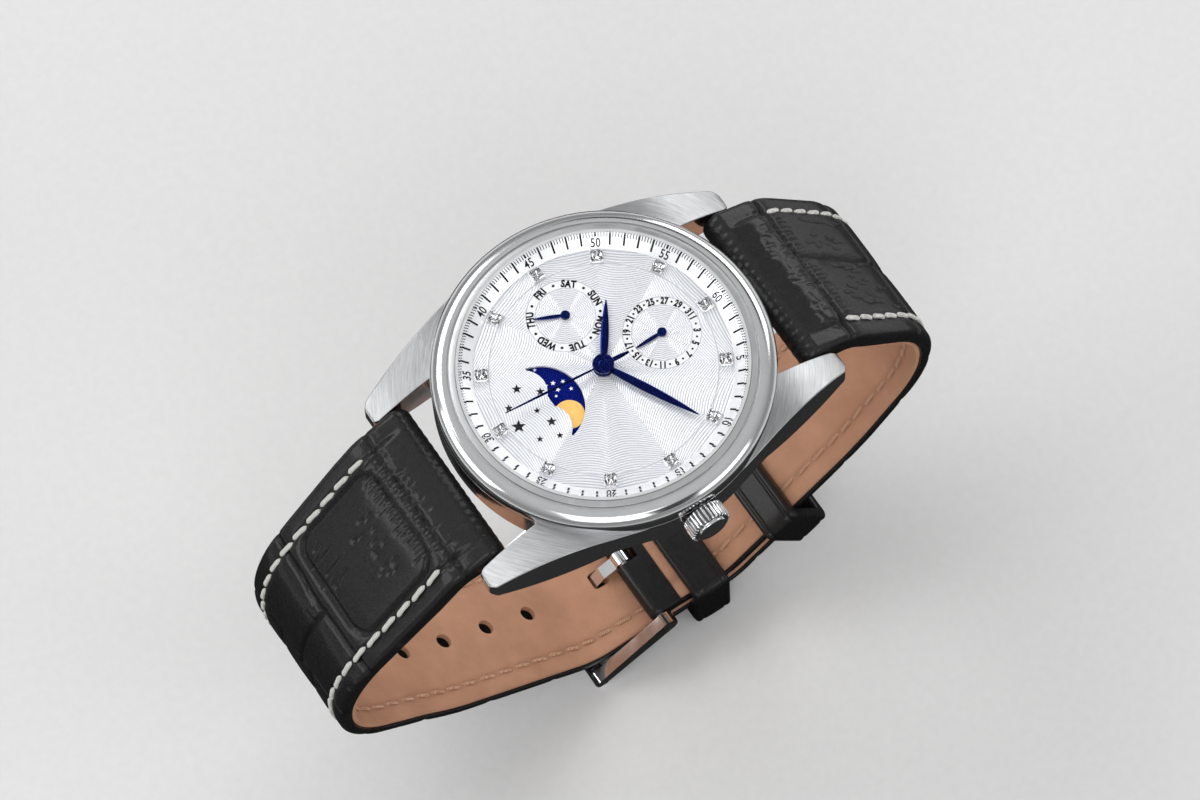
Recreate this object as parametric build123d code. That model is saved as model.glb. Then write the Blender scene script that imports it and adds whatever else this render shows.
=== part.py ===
from build123d import *
import math
import os

os.makedirs("parts", exist_ok=True)

# Moon phase wristwatch on a buckled strap, in millimetres.
# The origin is the middle of the case back's outer face. +Z leaves the dial, +Y points to 12 o'clock
# and +X to 3 o'clock. The strap's closed loop hangs below the case, in the YZ plane.

# Clearances and one overrun for all cuts
OVERRUN = 1.0
SEAT = 0.02            # between pieces that sit on each other
RUNNING = 0.03         # radial, between a shaft and its hole
LEATHER_GAP = 0.3      # between leather and the piece beside it

# Case
CASE_RADIUS = 20.0
CASE_WALL = 2.8
MOVEMENT_SHARE = 0.675  # movement's radius against the case's
CASE_FOOT = 0.3        # height of the band's lowest edge above the case back's face
CASE_FOOT_INSET = 1.7
CASE_FOOT_RISE = 1.6
BEZEL_DROP = 1.1       # joint of bezel and band, below the dial's face
BEZEL_LIP = 3.0        # radial width of the bezel's top
BEZEL_SIDE = 1.3
BEZEL_SHOULDER = 0.7
BEZEL_SHOULDER_RISE = 0.9
BEZEL_SIDE_INSET = 0.2     # how far the rounded side has turned in halfway up
BEZEL_BAND = 1.3
BEZEL_BAND_RISE = 0.35
BEZEL_GROOVE = 0.25
BEZEL_RISE = 1.6       # bezel's lip above the dial's face
SPIGOT_WIDTH = 0.85    # ring of the band that the bezel snaps over
SPIGOT_HEIGHT = 0.55
SPIGOT_INSET = 0.15

# Lugs
LUG_GAP = 22.0
LUG_LENGTH = 4.6       # how far the lug's tip stands out from the case's circle
LUG_REACH = CASE_RADIUS + LUG_LENGTH
LUG_TIP_WIDTH = 3.0
LUG_TIP_CORNER = 0.7
LUG_ROOT_SHARE = 0.427  # places along the lug, as shares of its reach
LUG_BELLY_SHARE = 0.63
LUG_KNEE_SHARE = 0.711
LUG_TOP_DROP = 0.2     # lug's top at its root, below the bezel's joint
LUG_KNEE_DROP = 0.7
LUG_TIP_DROP = 4.1
LUG_TIP_LOW = -0.4
LUG_BELLY_LOW = 0.1

# Case back, inside heights and plates, in their order from the back to the dial
BACK_THICKNESS = 0.9
BACK_FLANGE = 0.45
BACK_CHAMFER = 0.5
BACK_RIM_WIDTH = 0.7
BACK_RIM_HEIGHT = 0.8
BACK_RIM_GAP = 0.3
BACK_ROOM = 0.55
BOARD_THICKNESS = 0.4
BRIDGE_GAP = 0.1
BRIDGE_THICKNESS = 0.45
TRAIN_ROOM = 2.0
PLATE_THICKNESS = 0.8
MOTION_ROOM = 0.8
CALENDAR_THICKNESS = 0.15
DISPLAY_ROOM = 0.45
DIAL_THICKNESS = 0.4

# Gaskets
BACK_GASKET_LOW = 0.12
BACK_GASKET_HEIGHT = 0.5
GASKET_GAP = 0.03
CRYSTAL_GASKET_HEIGHT = 0.5
CROWN_GASKET_HEIGHT = 0.25

# Crystal
CRYSTAL_GAP = 0.4      # room for the gasket between crystal and bezel
CRYSTAL_EDGE = 0.75
CRYSTAL_CHAMFER = 0.25
CRYSTAL_EDGE_LIFT = 1.25
CRYSTAL_UNDER_DOME = 0.65
CRYSTAL_TOP_DOME = 0.9

# One part of the plan. What follows the movement's plan is given in parts, half a millimetre at this size.
MOVEMENT_RADIUS = CASE_RADIUS * MOVEMENT_SHARE
PART_SHARE = 1 / 27
PART = MOVEMENT_RADIUS * PART_SHARE

# Dial, chapter ring and stones
DIAL_GAP = 0.6
CHAPTER_WIDTH = 2.0
CHAPTER_FLAT = 0.2
CHAPTER_LIP = 0.1
CHAPTER_RISE = 1.2
SMALL_DIAL_OFFSET = 16.0 * PART
SMALL_DIAL_RADIUS = 9.2 * PART
SMALL_DIAL_DEPTH = 0.08
MOON_OFFSET = 17.4 * PART
MOON_WINDOW_RADIUS = 10.36 * PART
MOON_WINDOW_LOW = 2.4 * PART      # lowest edge of the window above the moon disc's axis
MOON_BUMP_RADIUS = 5.6 * PART
MOON_BUMP_X = 5.2 * PART
MOON_BUMP_DROP = 1.2 * PART
MOON_VALLEY = 3.0 * PART
MOON_VALLEY_HALF = 1.5 * PART
STONE_INSET = 1.0          # from the chapter ring to the middle of a stone
STONE_SIZE = 1.5
STONE_TABLE_SHARE = 0.62
STONE_COUNT = 12
SETTING_HEIGHT = 0.36
STONE_GIRDLE = 0.12
STONE_CROWN = 0.32
PRONG_RADIUS = 0.15
PRONG_HEIGHT = 0.78
PRONG_INSET = 0.08

# Hands: lengths from the middle of the dial, angles clockwise from 12 o'clock
HAND_RISE = 0.08
SMALL_HAND_THICKNESS = 0.12
SMALL_HUB_HEIGHT = 0.22
SMALL_HUB_RADIUS = 0.55
DAY_HAND_LENGTH = 7.4 * PART
DATE_HAND_LENGTH = 7.2 * PART
SMALL_HAND_WIDTH = 0.46
SMALL_HAND_TAIL = 0.6 * PART
HAND_GAP = 0.06
HAND_THICKNESS = 0.15
HAND_SPACING = 0.2
HOUR_HAND_LENGTH = 16.8 * PART
HOUR_HAND_WIDTH = 0.94
MINUTE_HAND_LENGTH = 25.0 * PART
MINUTE_HAND_WIDTH = 1.02
SECONDS_HAND_LENGTH = 25.2 * PART
SECONDS_HAND_WIDTH = 0.30
SECONDS_TAIL_LENGTH = 6.6 * PART
SECONDS_TAIL_WIDTH = 0.54
HAND_TIP_WIDTH = 0.12
HUB_RADIUS = 1.25
CAP_HEIGHT = 0.5
CAP_CHAMFER = 0.16
HOUR_ANGLE = 305.3
MINUTE_ANGLE = 63.1
SECONDS_ANGLE = 185.5
DATE_ANGLE = 180.0
DAY_ANGLE = 205.7
LEAF_WIDEST_SHARE = 0.42

# Movement
MOVEMENT_GAP = 0.1
HOLDER_GAP = 0.1
HOLDER_SHELF = 1.4         # how far the dial's seat is wider than the movement
HOLDER_LIFT = 0.05
CORE_RADIUS = 0.28 * PART         # seconds arbor
TUBE_WALL = 0.26 * PART           # centre wheel's tube
CANNON_WALL = 0.4 * PART
PIPE_WALL = 0.5 * PART           # hour wheel's pipe
PIVOT_RADIUS = 0.2 * PART
SMALL_ARBOR_RADIUS = 0.5 * PART
PIVOT_DEPTH = 0.6          # how far a blind pivot goes into the main plate
MAGNET_RADIUS = 1.2 * PART
STATOR_GAP = 0.1
TRAIN_SPACING = 6.0 * PART        # seconds axis to third axis
ROTOR_SPACING = 4.32 * PART       # intermediate axis to rotor axis
INTERMEDIATE_SPACING = 6.3 * PART
MOTION_SPACING = 5.2 * PART       # centre axis to minute wheel axis
CALENDAR_SPACING = 12.48 * PART    # centre axis to each 24-hour wheel's axis
THIRD_ANGLE = 60.0
INTERMEDIATE_ANGLE = 180.0
ROTOR_ANGLE = 225.0
CALENDAR_DRIVE_ANGLE = 135.0
MOON_DRIVE_ANGLE = 225.0
DAY_STAR_RADIUS = 6.8 * PART
DATE_STAR_RADIUS = 6.8 * PART
MOON_DISC_RADIUS = 11.2 * PART
STAR_DEPTH = 0.7 * PART
MOON_TOOTH_DEPTH = 0.44 * PART
FINGER_PIPE_RADIUS = 0.7 * PART
FINGER_WIDTH = 0.3
FINGER_ANGLE = 135.0       # where both fingers point, clear of the wheels that they step
CALENDAR_FINGER_LENGTH = 5.0 * PART
MOON_FINGER_LENGTH = 1.6 * PART
JUMPER_WIDTH = 0.3
JUMPER_FOOT_RADIUS = 0.6
JUMPER_ARM = 4.8 * PART
JUMPER_GAP = 0.08
DATE_JUMPER_ANGLE = 0.0
DAY_JUMPER_ANGLE = 270.0
MOON_JUMPER_ANGLE = 0.0
CALENDAR_POST_RADIUS = 1.0 * PART
CALENDAR_EDGE = 0.1

# Where the fixed pieces of the movement stand, as shares of its radius
BRIDGE_POST_SHARES = ((-0.415, 0.267), (0.341, -0.237), (0.370, 0.444))
CALENDAR_POST_SHARES = ((0.667, 0.296), (0.667, -0.296), (-0.859, 0.0), (0.30, 0.86))
BRIDGE_POST_RADIUS = 1.6 * PART
BRIDGE_EDGE_RADIUS = 2.4 * PART
SCREW_RADIUS = 0.7 * PART
SCREW_HEAD_RADIUS = 1.3 * PART
SCREW_HEAD_HEIGHT = 0.2
SCREW_LENGTH = 1.6
SCREW_SLOT = 0.16
BATTERY_RADIUS = 6.8 * PART
BATTERY_HEIGHT = 2.6
BATTERY_X = 8.0 * PART
BATTERY_Y = -16.8 * PART
BATTERY_RIM = 0.35
CLAMP_THICKNESS = 0.2
CLAMP_LEG = 0.3
CLAMP_WIDTH = 3.6 * PART
CLAMP_GAP = 1.0 * PART
COIL_RADIUS = 0.55
COIL_Y = -13.0 * PART
COIL_LEFT = -20.6 * PART
COIL_RIGHT = -5.8 * PART
CORE_WIDTH = 0.4
STATOR_LEG = 1.8 * PART
STATOR_MARGIN = 1.24 * PART
QUARTZ_RADIUS = 0.75
QUARTZ_LENGTH = 12.0 * PART
QUARTZ_X = -10.0 * PART
QUARTZ_Y = 19.0 * PART
BOARD_EDGE_Y = 4.0 * PART
BOARD_INSET = 0.5
BOARD_HOLE_GAP = 0.12
CHIP_SIZE = 4.8 * PART
CHIP_HEIGHT = 0.7
CHIP_X = 7.2 * PART
CHIP_Y = 18.8 * PART

# Levels of the wheels, as shares of the room that they turn in
SECONDS_WHEEL_SHARES = (0.10, 0.175)
INTERMEDIATE_PINION_SHARES = (0.05, 0.225)
INTERMEDIATE_WHEEL_SHARES = (0.30, 0.375)
ROTOR_PINION_SHARES = (0.26, 0.41)
SECONDS_PINION_SHARES = (0.40, 0.55)
THIRD_WHEEL_SHARES = (0.435, 0.51)
MAGNET_SHARES = (0.56, 0.86)
STATOR_SHARES = (0.60, 0.775)
THIRD_PINION_SHARES = (0.70, 0.85)
CENTRE_WHEEL_SHARES = (0.735, 0.81)
CANNON_TEETH_SHARES = (0.09, 0.42)
MINUTE_WHEEL_SHARES = (0.125, 0.375)
MINUTE_PINION_SHARES = (0.46, 0.92)
HOUR_WHEEL_SHARES = (0.60, 0.80)
DISPLAY_SHARES = (0.16, 0.62)

# Teeth: counts, and the shape of one tooth as shares of the module or of the pitch
ROTOR_TEETH = 6
INTERMEDIATE_TEETH = 30
INTERMEDIATE_LEAVES = 10
SECONDS_TEETH = 60
SECONDS_LEAVES = 8
THIRD_TEETH = 60
THIRD_LEAVES = 8
CENTRE_TEETH = 64
CANNON_LEAVES = 12
MINUTE_TEETH = 36
MINUTE_LEAVES = 10
HOUR_TEETH = 40
DAY_WHEEL_TEETH = 80       # each 24-hour wheel
DAY_STAR_TEETH = 7
DATE_STAR_TEETH = 31
MOON_TEETH = 59
TOOTH_TIP_SHARE = 0.75
TOOTH_ROOT_SHARE = 1.1
TOOTH_FOOT_WIDTH_SHARE = 0.46
TOOTH_TOP_WIDTH_SHARE = 0.20

# Crown and stem
CROWN_DROP = 2.9           # stem's axis below the dial's face
CROWN_RADIUS = 2.55
CROWN_GAP = 0.25
CROWN_LENGTH = 2.05
CROWN_RECESS_RADIUS = 1.45
CROWN_RECESS_DEPTH = 1.35
CROWN_FLUTES = 26
CROWN_FLUTE_RADIUS = 0.24
CROWN_FLUTE_LIFT = 0.06
CROWN_END_RADIUS = 1.9
CROWN_END_HEIGHT = 0.3
CROWN_END_CHAMFER = 0.15
CROWN_CHAMFER = 0.25
TUBE_RADIUS = 1.05
TUBE_BORE = 0.62
TUBE_INSET = 1.7           # how far the tube stands in past the band
TUBE_PROUD = 1.2
STEM_RADIUS = 0.5
STEM_INNER_X = 11.6 * PART
STEM_SCREW_DEPTH = 0.4
STEM_ROOM = 0.1
STEM_SLOT_RADIUS = 1.3
GROOVE_RADIUS = 0.3
GROOVE_X = 16.4 * PART
GROOVE_WIDTH = 0.4
FORK_THICKNESS = 0.3
FORK_HALF_WIDTH = 0.85
FORK_RISE = 0.2
SLIDE_THICKNESS = 0.3
SLIDE_DROP = 0.7           # slide's top below the stem's axis
SLIDE_X = 10.0 * PART
SLIDE_LENGTH = 8.0 * PART
SLIDE_HALF_WIDTH = 1.2
RAIL_WIDTH = 0.45
RAIL_LIP = 0.35
RAIL_LIP_HEIGHT = 0.2
RAIL_GAP = 0.05
CROWN_TRAVEL = 1.5
RAIL_SPARE = 0.4
STEM_BOSS_X = 22.4 * PART
STEM_BOSS_LENGTH = 4.2 * PART
STEM_BOSS_HALF_WIDTH = 1.0

# Strap. The corners of its inner face are (Y, Z) places that its arcs round off.
STRAP_LUG_GAP = 0.2
STRAP_END_WIDTH = 18.0
STRAP_LOOP_RADIUS = 2.2
BAR_INSET = 2.0            # spring bar's axis inside the lug's tip
BAR_Y = LUG_REACH - BAR_INSET
BAR_Z = 1.35
TAPER_START = -1.0
TAPER_END = -38.0
LINING_THICKNESS = 0.7
GLUE_GAP = 0.02
LINING_START = 1.4         # from the spring bar to the edge of the lining
UPPER_SHOULDER = 3.4       # how far each of these stands out past its spring bar
UPPER_FRONT = 14.5
UPPER_ELBOW_OUT = 6.0
LOWER_SHOULDER = 3.2
LOWER_FRONT = 19.3
LOWER_ELBOW_OUT = 5.6
UPPER_FRONT_HIGH = -13.5   # heights of the corners
UPPER_FRONT_LOW = -24.6
UPPER_ELBOW_Z = -36.4
LOWER_FRONT_HIGH = -14.6
LOWER_FRONT_LOW = -27.7
LOWER_ELBOW_Z = -40.5
LOWER_HEEL_Y = -9.0
HEEL_Y = 10.0
HEEL_Z = -50.0
BUCKLE_Y = 0.3
UPPER_THICKNESS = 2.6
UPPER_PAD = 3.6
UPPER_PAD_END = 2.8
LOWER_THICKNESS = 2.2
LOWER_PAD = 3.6
LOWER_PAD_END = 2.6
SHOULDER_ARC = 4.0
UPPER_ARC = 15.0
LOWER_ARC = 13.5
ELBOW_ARC = 20.0
LOWER_ELBOW_ARC = 30.0
HEEL_ARC = 3.0
LOWER_HEEL_ARC = 8.0
FREE_END = 17.0            # free end beyond the heel, along the slope
TIP_LENGTH = 7.0
TIP_WIDTH = 5.0
BUCKLE_LINING_END = 3.0
TIP_LINING_END = 1.75      # bare leather beyond the lining at the free end
HOLE_RADIUS = 1.0
HOLE_PITCH = 7.0
HOLE_COUNT = 4
HOLE_FIRST = 11.6          # from the tongue's hole to the first free hole

# Spring bars
BARREL_RADIUS = 0.75
BARREL_WALL = 0.25
BARREL_INSET = 2.1         # from the lug's inner side to the barrel's end
BARREL_HALF = LUG_GAP / 2 - BARREL_INSET
STRAP_BORE_GAP = 0.08
PIN_RADIUS = 0.45
PIN_TIP_RADIUS = 0.4
PIN_TIP_REACH = 0.9        # into the lug
PIN_INSIDE = 1.9           # length inside the barrel
PIN_TRAVEL = 0.9
PIN_COLLAR_GAP = 1.0
PIN_COLLAR_WIDTH = 0.45
PIN_COLLAR_RADIUS = 0.68
LUG_HOLE_SPARE = 0.3
LUG_HOLE_GAP = 0.06
SPRING_WALL = 0.15
SPRING_SPARE = 0.05

# Keepers and buckle
KEEPER_WALL = 1.5
KEEPER_LENGTH = 5.0
KEEPER_CORNER = 0.9
FIXED_KEEPER_Y = 4.5
SLIDING_KEEPER_START = 7.5     # along the slope from the heel
BUCKLE_ARM = 1.5
BUCKLE_REACH = 9.8             # from the buckle's bar to its outer bar
BUCKLE_BAR_RADIUS = 0.7
BUCKLE_EYE_RADIUS = 1.3
BUCKLE_TIP_RADIUS = 0.85
OUTER_BAR_HEIGHT = 1.5
OUTER_BAR_WIDTH = 1.8
TONGUE_WIDTH = 1.6
TONGUE_THICKNESS = 0.9
TONGUE_RING_RADIUS = 1.2
TONGUE_ROOM = 0.35
TONGUE_SLOT_LENGTH = 1.8
TONGUE_START_DROP = 0.3
TONGUE_BEND_REACH = 2.7
TONGUE_BEND_DROP = 0.9
TONGUE_KNEE_REACH = 6.4
TONGUE_KNEE_GAP = 0.45
TONGUE_TIP_REACH = 10.3
TONGUE_TIP_LIFT = 0.05
NOTCH_ROOM = 0.23

# Heights that follow from the stack
BOARD_LOW = BACK_THICKNESS + BACK_ROOM
BOARD_HIGH = BOARD_LOW + BOARD_THICKNESS
BRIDGE_LOW = BOARD_HIGH + BRIDGE_GAP
BRIDGE_HIGH = BRIDGE_LOW + BRIDGE_THICKNESS
PLATE_LOW = BRIDGE_HIGH + TRAIN_ROOM
PLATE_HIGH = PLATE_LOW + PLATE_THICKNESS
CALENDAR_LOW = PLATE_HIGH + MOTION_ROOM
CALENDAR_HIGH = CALENDAR_LOW + CALENDAR_THICKNESS
DIAL_LOW = CALENDAR_HIGH + DISPLAY_ROOM
DIAL_TOP = DIAL_LOW + DIAL_THICKNESS
BEZEL_LOW = DIAL_TOP - BEZEL_DROP
BEZEL_HIGH = DIAL_TOP + BEZEL_RISE
PIVOT_LOW = PLATE_HIGH - PIVOT_DEPTH
CROWN_Z = DIAL_TOP - CROWN_DROP
SMALL_HAND_LOW = DIAL_TOP + HAND_RISE
HOUR_HAND_LOW = SMALL_HAND_LOW + SMALL_HUB_HEIGHT + HAND_GAP
MINUTE_HAND_LOW = HOUR_HAND_LOW + HAND_THICKNESS + HAND_SPACING
SECONDS_HAND_LOW = MINUTE_HAND_LOW + HAND_THICKNESS + HAND_SPACING

# Radii that follow from each other
CASE_BORE = CASE_RADIUS - CASE_WALL
BACK_RADIUS = CASE_BORE + BACK_FLANGE
BEZEL_BORE = CASE_RADIUS - BEZEL_LIP
CHAPTER_INNER = BEZEL_BORE - CHAPTER_WIDTH
STONE_CIRCLE = CHAPTER_INNER - STONE_INSET
DIAL_RADIUS = CASE_BORE - DIAL_GAP
CRYSTAL_RADIUS = BEZEL_BORE - CRYSTAL_GAP
HOLDER_RADIUS = BEZEL_BORE - HOLDER_GAP
TUBE_OUTER = CORE_RADIUS + RUNNING + TUBE_WALL
CANNON_BORE = TUBE_OUTER + SEAT
CANNON_RADIUS = CANNON_BORE + CANNON_WALL
PIPE_BORE = CANNON_RADIUS + RUNNING
PIPE_RADIUS = PIPE_BORE + PIPE_WALL

# Axes of the wheels, seen from the dial
CENTRE = (0.0, 0.0)


def polar(radius, degrees, around=CENTRE):
    """Place at a distance and a direction from another place."""
    turn = math.radians(degrees)
    return (around[0] + radius * math.cos(turn), around[1] + radius * math.sin(turn))


THIRD_AT = polar(TRAIN_SPACING, THIRD_ANGLE)
INTERMEDIATE_AT = polar(INTERMEDIATE_SPACING, INTERMEDIATE_ANGLE)
ROTOR_AT = polar(ROTOR_SPACING, ROTOR_ANGLE, INTERMEDIATE_AT)
MINUTE_AT = polar(MOTION_SPACING, 0)
CALENDAR_DRIVE_AT = polar(CALENDAR_SPACING, CALENDAR_DRIVE_ANGLE)
MOON_DRIVE_AT = polar(CALENDAR_SPACING, MOON_DRIVE_ANGLE)
DATE_AT = (0.0, SMALL_DIAL_OFFSET)
DAY_AT = (-SMALL_DIAL_OFFSET, 0.0)
MOON_AT = (0.0, -MOON_OFFSET)


def level(floor, room, shares):
    """Low and high heights of a piece that takes shares of a room."""
    return floor + room * shares[0], floor + room * shares[1]


def train_level(shares):
    return level(BRIDGE_HIGH, TRAIN_ROOM, shares)


def motion_level(shares):
    return level(PLATE_HIGH, MOTION_ROOM, shares)


DISPLAY_LEVEL = level(CALENDAR_HIGH, DISPLAY_ROOM, DISPLAY_SHARES)


# Basic solids

def disc(radius, low, high, at=CENTRE):
    """Upright round solid between two heights."""
    base = (Align.CENTER, Align.CENTER, Align.MIN)
    return Pos(at[0], at[1], low) * Cylinder(radius, high - low, align=base)


def ring(outer, inner, low, high, at=CENTRE):
    """Upright tube between two heights."""
    return disc(outer, low, high, at) - disc(inner, low - OVERRUN, high + OVERRUN, at)


def rod(radius, start, end, y, z):
    """Round solid along X."""
    base = (Align.CENTER, Align.CENTER, Align.MIN)
    return Pos(start, y, z) * Rot(0, 90, 0) * Cylinder(radius, end - start, align=base)


def block(x, y, z):
    """Box between three pairs of limits."""
    size = Box(x[1] - x[0], y[1] - y[0], z[1] - z[0], align=(Align.MIN, Align.MIN, Align.MIN))
    return Pos(x[0], y[0], z[0]) * size


def turned(*points):
    """Solid turned about Z, from (radius, height) points."""
    return revolve(Plane.XZ * make_face(Polyline(*points, close=True)), Axis.Z)


def side_slab(face, half_width):
    """Solid with a (Y, Z) section, equally far to both sides of the YZ plane."""
    return extrude(Plane.YZ * face, half_width, both=True)


def gear(teeth, module, heights, at, phase=0.0):
    """Toothed wheel. phase is the direction of one tooth in degrees."""
    pitch = teeth * module / 2
    tip = pitch + TOOTH_TIP_SHARE * module
    root = pitch - TOOTH_ROOT_SHARE * module
    foot, top = TOOTH_FOOT_WIDTH_SHARE / 2, TOOTH_TOP_WIDTH_SHARE / 2
    points = []
    for tooth in range(teeth):
        for radius, share in ((root, -foot), (tip, -top), (tip, top), (root, foot)):
            points.append(polar(radius, phase + (tooth + share) * 360 / teeth))
    body = extrude(make_face(Polyline(*points, close=True)), heights[1] - heights[0])
    return Pos(at[0], at[1], heights[0]) * body


def mesh_phase(teeth_set, phase_set, teeth, direction):
    """Phase of a wheel whose gap meets a tooth of the wheel already set, seen in a direction from it."""
    offset = (phase_set - direction) * teeth_set / 360
    return direction + 180 + (0.5 - offset) * 360 / teeth


def star(teeth, radius, depth, heights, at):
    """Wheel with pointed teeth that a finger steps."""
    points = []
    for tooth in range(teeth):
        points.append(polar(radius, tooth * 360 / teeth))
        points.append(polar(radius - depth, (tooth + 0.5) * 360 / teeth))
    body = extrude(make_face(Polyline(*points, close=True)), heights[1] - heights[0])
    return Pos(at[0], at[1], heights[0]) * body


# Case, bezel, crystal and back

def lug():
    """One lug, at the 12 o'clock side and towards 3 o'clock. Its outer side runs tangent to the case."""
    inner = LUG_GAP / 2
    tip_outer = inner + LUG_TIP_WIDTH
    shoulder_y = LUG_REACH - LUG_TIP_CORNER
    tip_distance = math.hypot(tip_outer, shoulder_y)
    touch = math.atan2(shoulder_y, tip_outer) - math.acos(CASE_RADIUS / tip_distance)
    root = polar(CASE_RADIUS, math.degrees(touch))
    plan = make_face(
        Polyline(
            root,
            (inner, root[1]),
            (inner, shoulder_y),
            (inner + LUG_TIP_CORNER / 2, LUG_REACH),
            (tip_outer - LUG_TIP_CORNER, LUG_REACH),
            (tip_outer, shoulder_y),
            close=True,
        )
    )
    top = BEZEL_LOW - LUG_TOP_DROP
    foot = CASE_FOOT + CASE_FOOT_RISE
    start, belly, knee = LUG_REACH * LUG_ROOT_SHARE, LUG_REACH * LUG_BELLY_SHARE, LUG_REACH * LUG_KNEE_SHARE
    upper = Spline((start, top), (knee, top - LUG_KNEE_DROP), (LUG_REACH, top - LUG_TIP_DROP))
    lower = Spline((LUG_REACH, LUG_TIP_LOW), (belly, LUG_BELLY_LOW), (start, foot))
    front = Line((LUG_REACH, top - LUG_TIP_DROP), (LUG_REACH, LUG_TIP_LOW))
    back = Polyline((start, foot), (0, foot), (0, top), (start, top))
    profile = side_slab(make_face([upper, front, lower, back]), CASE_RADIUS)
    return extrude(plan, BEZEL_HIGH, both=True) & profile


def case_middle():
    """Band of the case with its four lugs."""
    spigot_outer = CASE_BORE + SPIGOT_INSET + SPIGOT_WIDTH
    band = turned(
        (CASE_BORE, BACK_THICKNESS + SEAT),
        (BACK_RADIUS + SEAT, BACK_THICKNESS + SEAT),
        (BACK_RADIUS + SEAT, CASE_FOOT),
        (CASE_RADIUS - CASE_FOOT_INSET, CASE_FOOT),
        (CASE_RADIUS, CASE_FOOT + CASE_FOOT_RISE),
        (CASE_RADIUS, BEZEL_LOW),
        (spigot_outer, BEZEL_LOW),
        (spigot_outer, BEZEL_LOW + SPIGOT_HEIGHT),
        (CASE_BORE + SPIGOT_INSET, BEZEL_LOW + SPIGOT_HEIGHT),
        (CASE_BORE + SPIGOT_INSET, BEZEL_LOW),
        (CASE_BORE, BEZEL_LOW),
    )
    one = lug()
    pair = one + mirror(one, Plane.YZ)
    lugs = pair + mirror(pair, Plane.XZ)
    lugs = lugs - disc(BACK_RADIUS + SEAT, LUG_TIP_LOW - OVERRUN, BEZEL_HIGH)
    case = band + lugs
    hole_end = LUG_GAP / 2 + PIN_TIP_REACH + LUG_HOLE_SPARE
    for y in (BAR_Y, -BAR_Y):
        case = case - rod(PIN_TIP_RADIUS + LUG_HOLE_GAP, -hole_end, hole_end, y, BAR_Z)
    return case - rod(TUBE_RADIUS + SEAT, CASE_BORE - TUBE_INSET, CASE_RADIUS + OVERRUN, 0, CROWN_Z)


def bezel():
    """Polished ring that holds the crystal."""
    groove_in = CASE_BORE + SPIGOT_INSET - SEAT
    groove_out = CASE_BORE + SPIGOT_INSET + SPIGOT_WIDTH + SEAT
    low, roof = BEZEL_LOW + SEAT, BEZEL_LOW + SPIGOT_HEIGHT + SEAT
    shoulder = CASE_RADIUS - BEZEL_SHOULDER
    shoulder_high = BEZEL_LOW + BEZEL_SIDE + BEZEL_SHOULDER_RISE
    band_in = shoulder - BEZEL_BAND
    inner = BEZEL_BORE
    bottom = Polyline(
        (inner, BEZEL_HIGH),
        (inner, low),
        (groove_in, low),
        (groove_in, roof),
        (groove_out, roof),
        (groove_out, low),
        (CASE_RADIUS, low),
        (CASE_RADIUS, BEZEL_LOW + BEZEL_SIDE),
    )
    side_foot = BEZEL_LOW + BEZEL_SIDE
    side_middle = (CASE_RADIUS - BEZEL_SIDE_INSET, (side_foot + shoulder_high + BEZEL_GROOVE) / 2)
    side = ThreePointArc((CASE_RADIUS, side_foot), side_middle, (shoulder, shoulder_high))
    crown_middle = ((shoulder + band_in) / 2, shoulder_high + BEZEL_BAND_RISE + BEZEL_GROOVE / 2)
    band = ThreePointArc((shoulder, shoulder_high), crown_middle, (band_in, shoulder_high + BEZEL_GROOVE))
    step = Polyline(
        (band_in, shoulder_high + BEZEL_GROOVE),
        (band_in, shoulder_high),
        (band_in - BEZEL_GROOVE, shoulder_high),
        (band_in - BEZEL_GROOVE, BEZEL_HIGH - BEZEL_GROOVE / 2),
        (inner, BEZEL_HIGH),
    )
    return revolve(Plane.XZ * make_face([bottom, side, band, step]), Axis.Z)


def dome_arc(radius, low, rise):
    """Arc over the middle axis that falls by its rise at a radius."""
    sphere = (radius ** 2 + rise ** 2) / (2 * rise)
    half_drop = sphere - math.sqrt(sphere ** 2 - (radius / 2) ** 2)
    return ThreePointArc((0, low + rise), (radius / 2, low + rise - half_drop), (radius, low))


def crystal():
    """Domed crystal with a chamfered edge."""
    low = DIAL_TOP + CRYSTAL_EDGE_LIFT
    high = low + CRYSTAL_EDGE
    flat = CRYSTAL_RADIUS - CRYSTAL_GAP
    shoulder = CRYSTAL_RADIUS - CRYSTAL_CHAMFER
    under = dome_arc(flat, low, CRYSTAL_UNDER_DOME)
    edge = Polyline(
        (flat, low), (CRYSTAL_RADIUS, low), (CRYSTAL_RADIUS, high - CRYSTAL_CHAMFER), (shoulder, high)
    )
    top = dome_arc(shoulder, high, CRYSTAL_TOP_DOME)
    axis = Line((0, high + CRYSTAL_TOP_DOME), (0, low + CRYSTAL_UNDER_DOME))
    return revolve(Plane.XZ * make_face([under, edge, top, axis]), Axis.Z)


def crystal_gasket():
    low = DIAL_TOP + CRYSTAL_EDGE_LIFT
    return ring(BEZEL_BORE - GASKET_GAP, CRYSTAL_RADIUS + GASKET_GAP, low, low + CRYSTAL_GASKET_HEIGHT)


def case_back():
    """Snap-in back with its rim."""
    rim = CASE_BORE - BACK_RIM_GAP
    return turned(
        (0, 0),
        (BACK_RADIUS - BACK_CHAMFER, 0),
        (BACK_RADIUS, BACK_CHAMFER),
        (BACK_RADIUS, BACK_THICKNESS),
        (rim, BACK_THICKNESS),
        (rim, BACK_THICKNESS + BACK_RIM_HEIGHT),
        (rim - BACK_RIM_WIDTH, BACK_THICKNESS + BACK_RIM_HEIGHT),
        (rim - BACK_RIM_WIDTH, BACK_THICKNESS),
        (0, BACK_THICKNESS),
    )


def case_back_gasket():
    low = BACK_THICKNESS + BACK_GASKET_LOW
    inner = CASE_BORE - BACK_RIM_GAP + GASKET_GAP
    return ring(CASE_BORE - GASKET_GAP, inner, low, low + BACK_GASKET_HEIGHT)


# Dial

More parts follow.
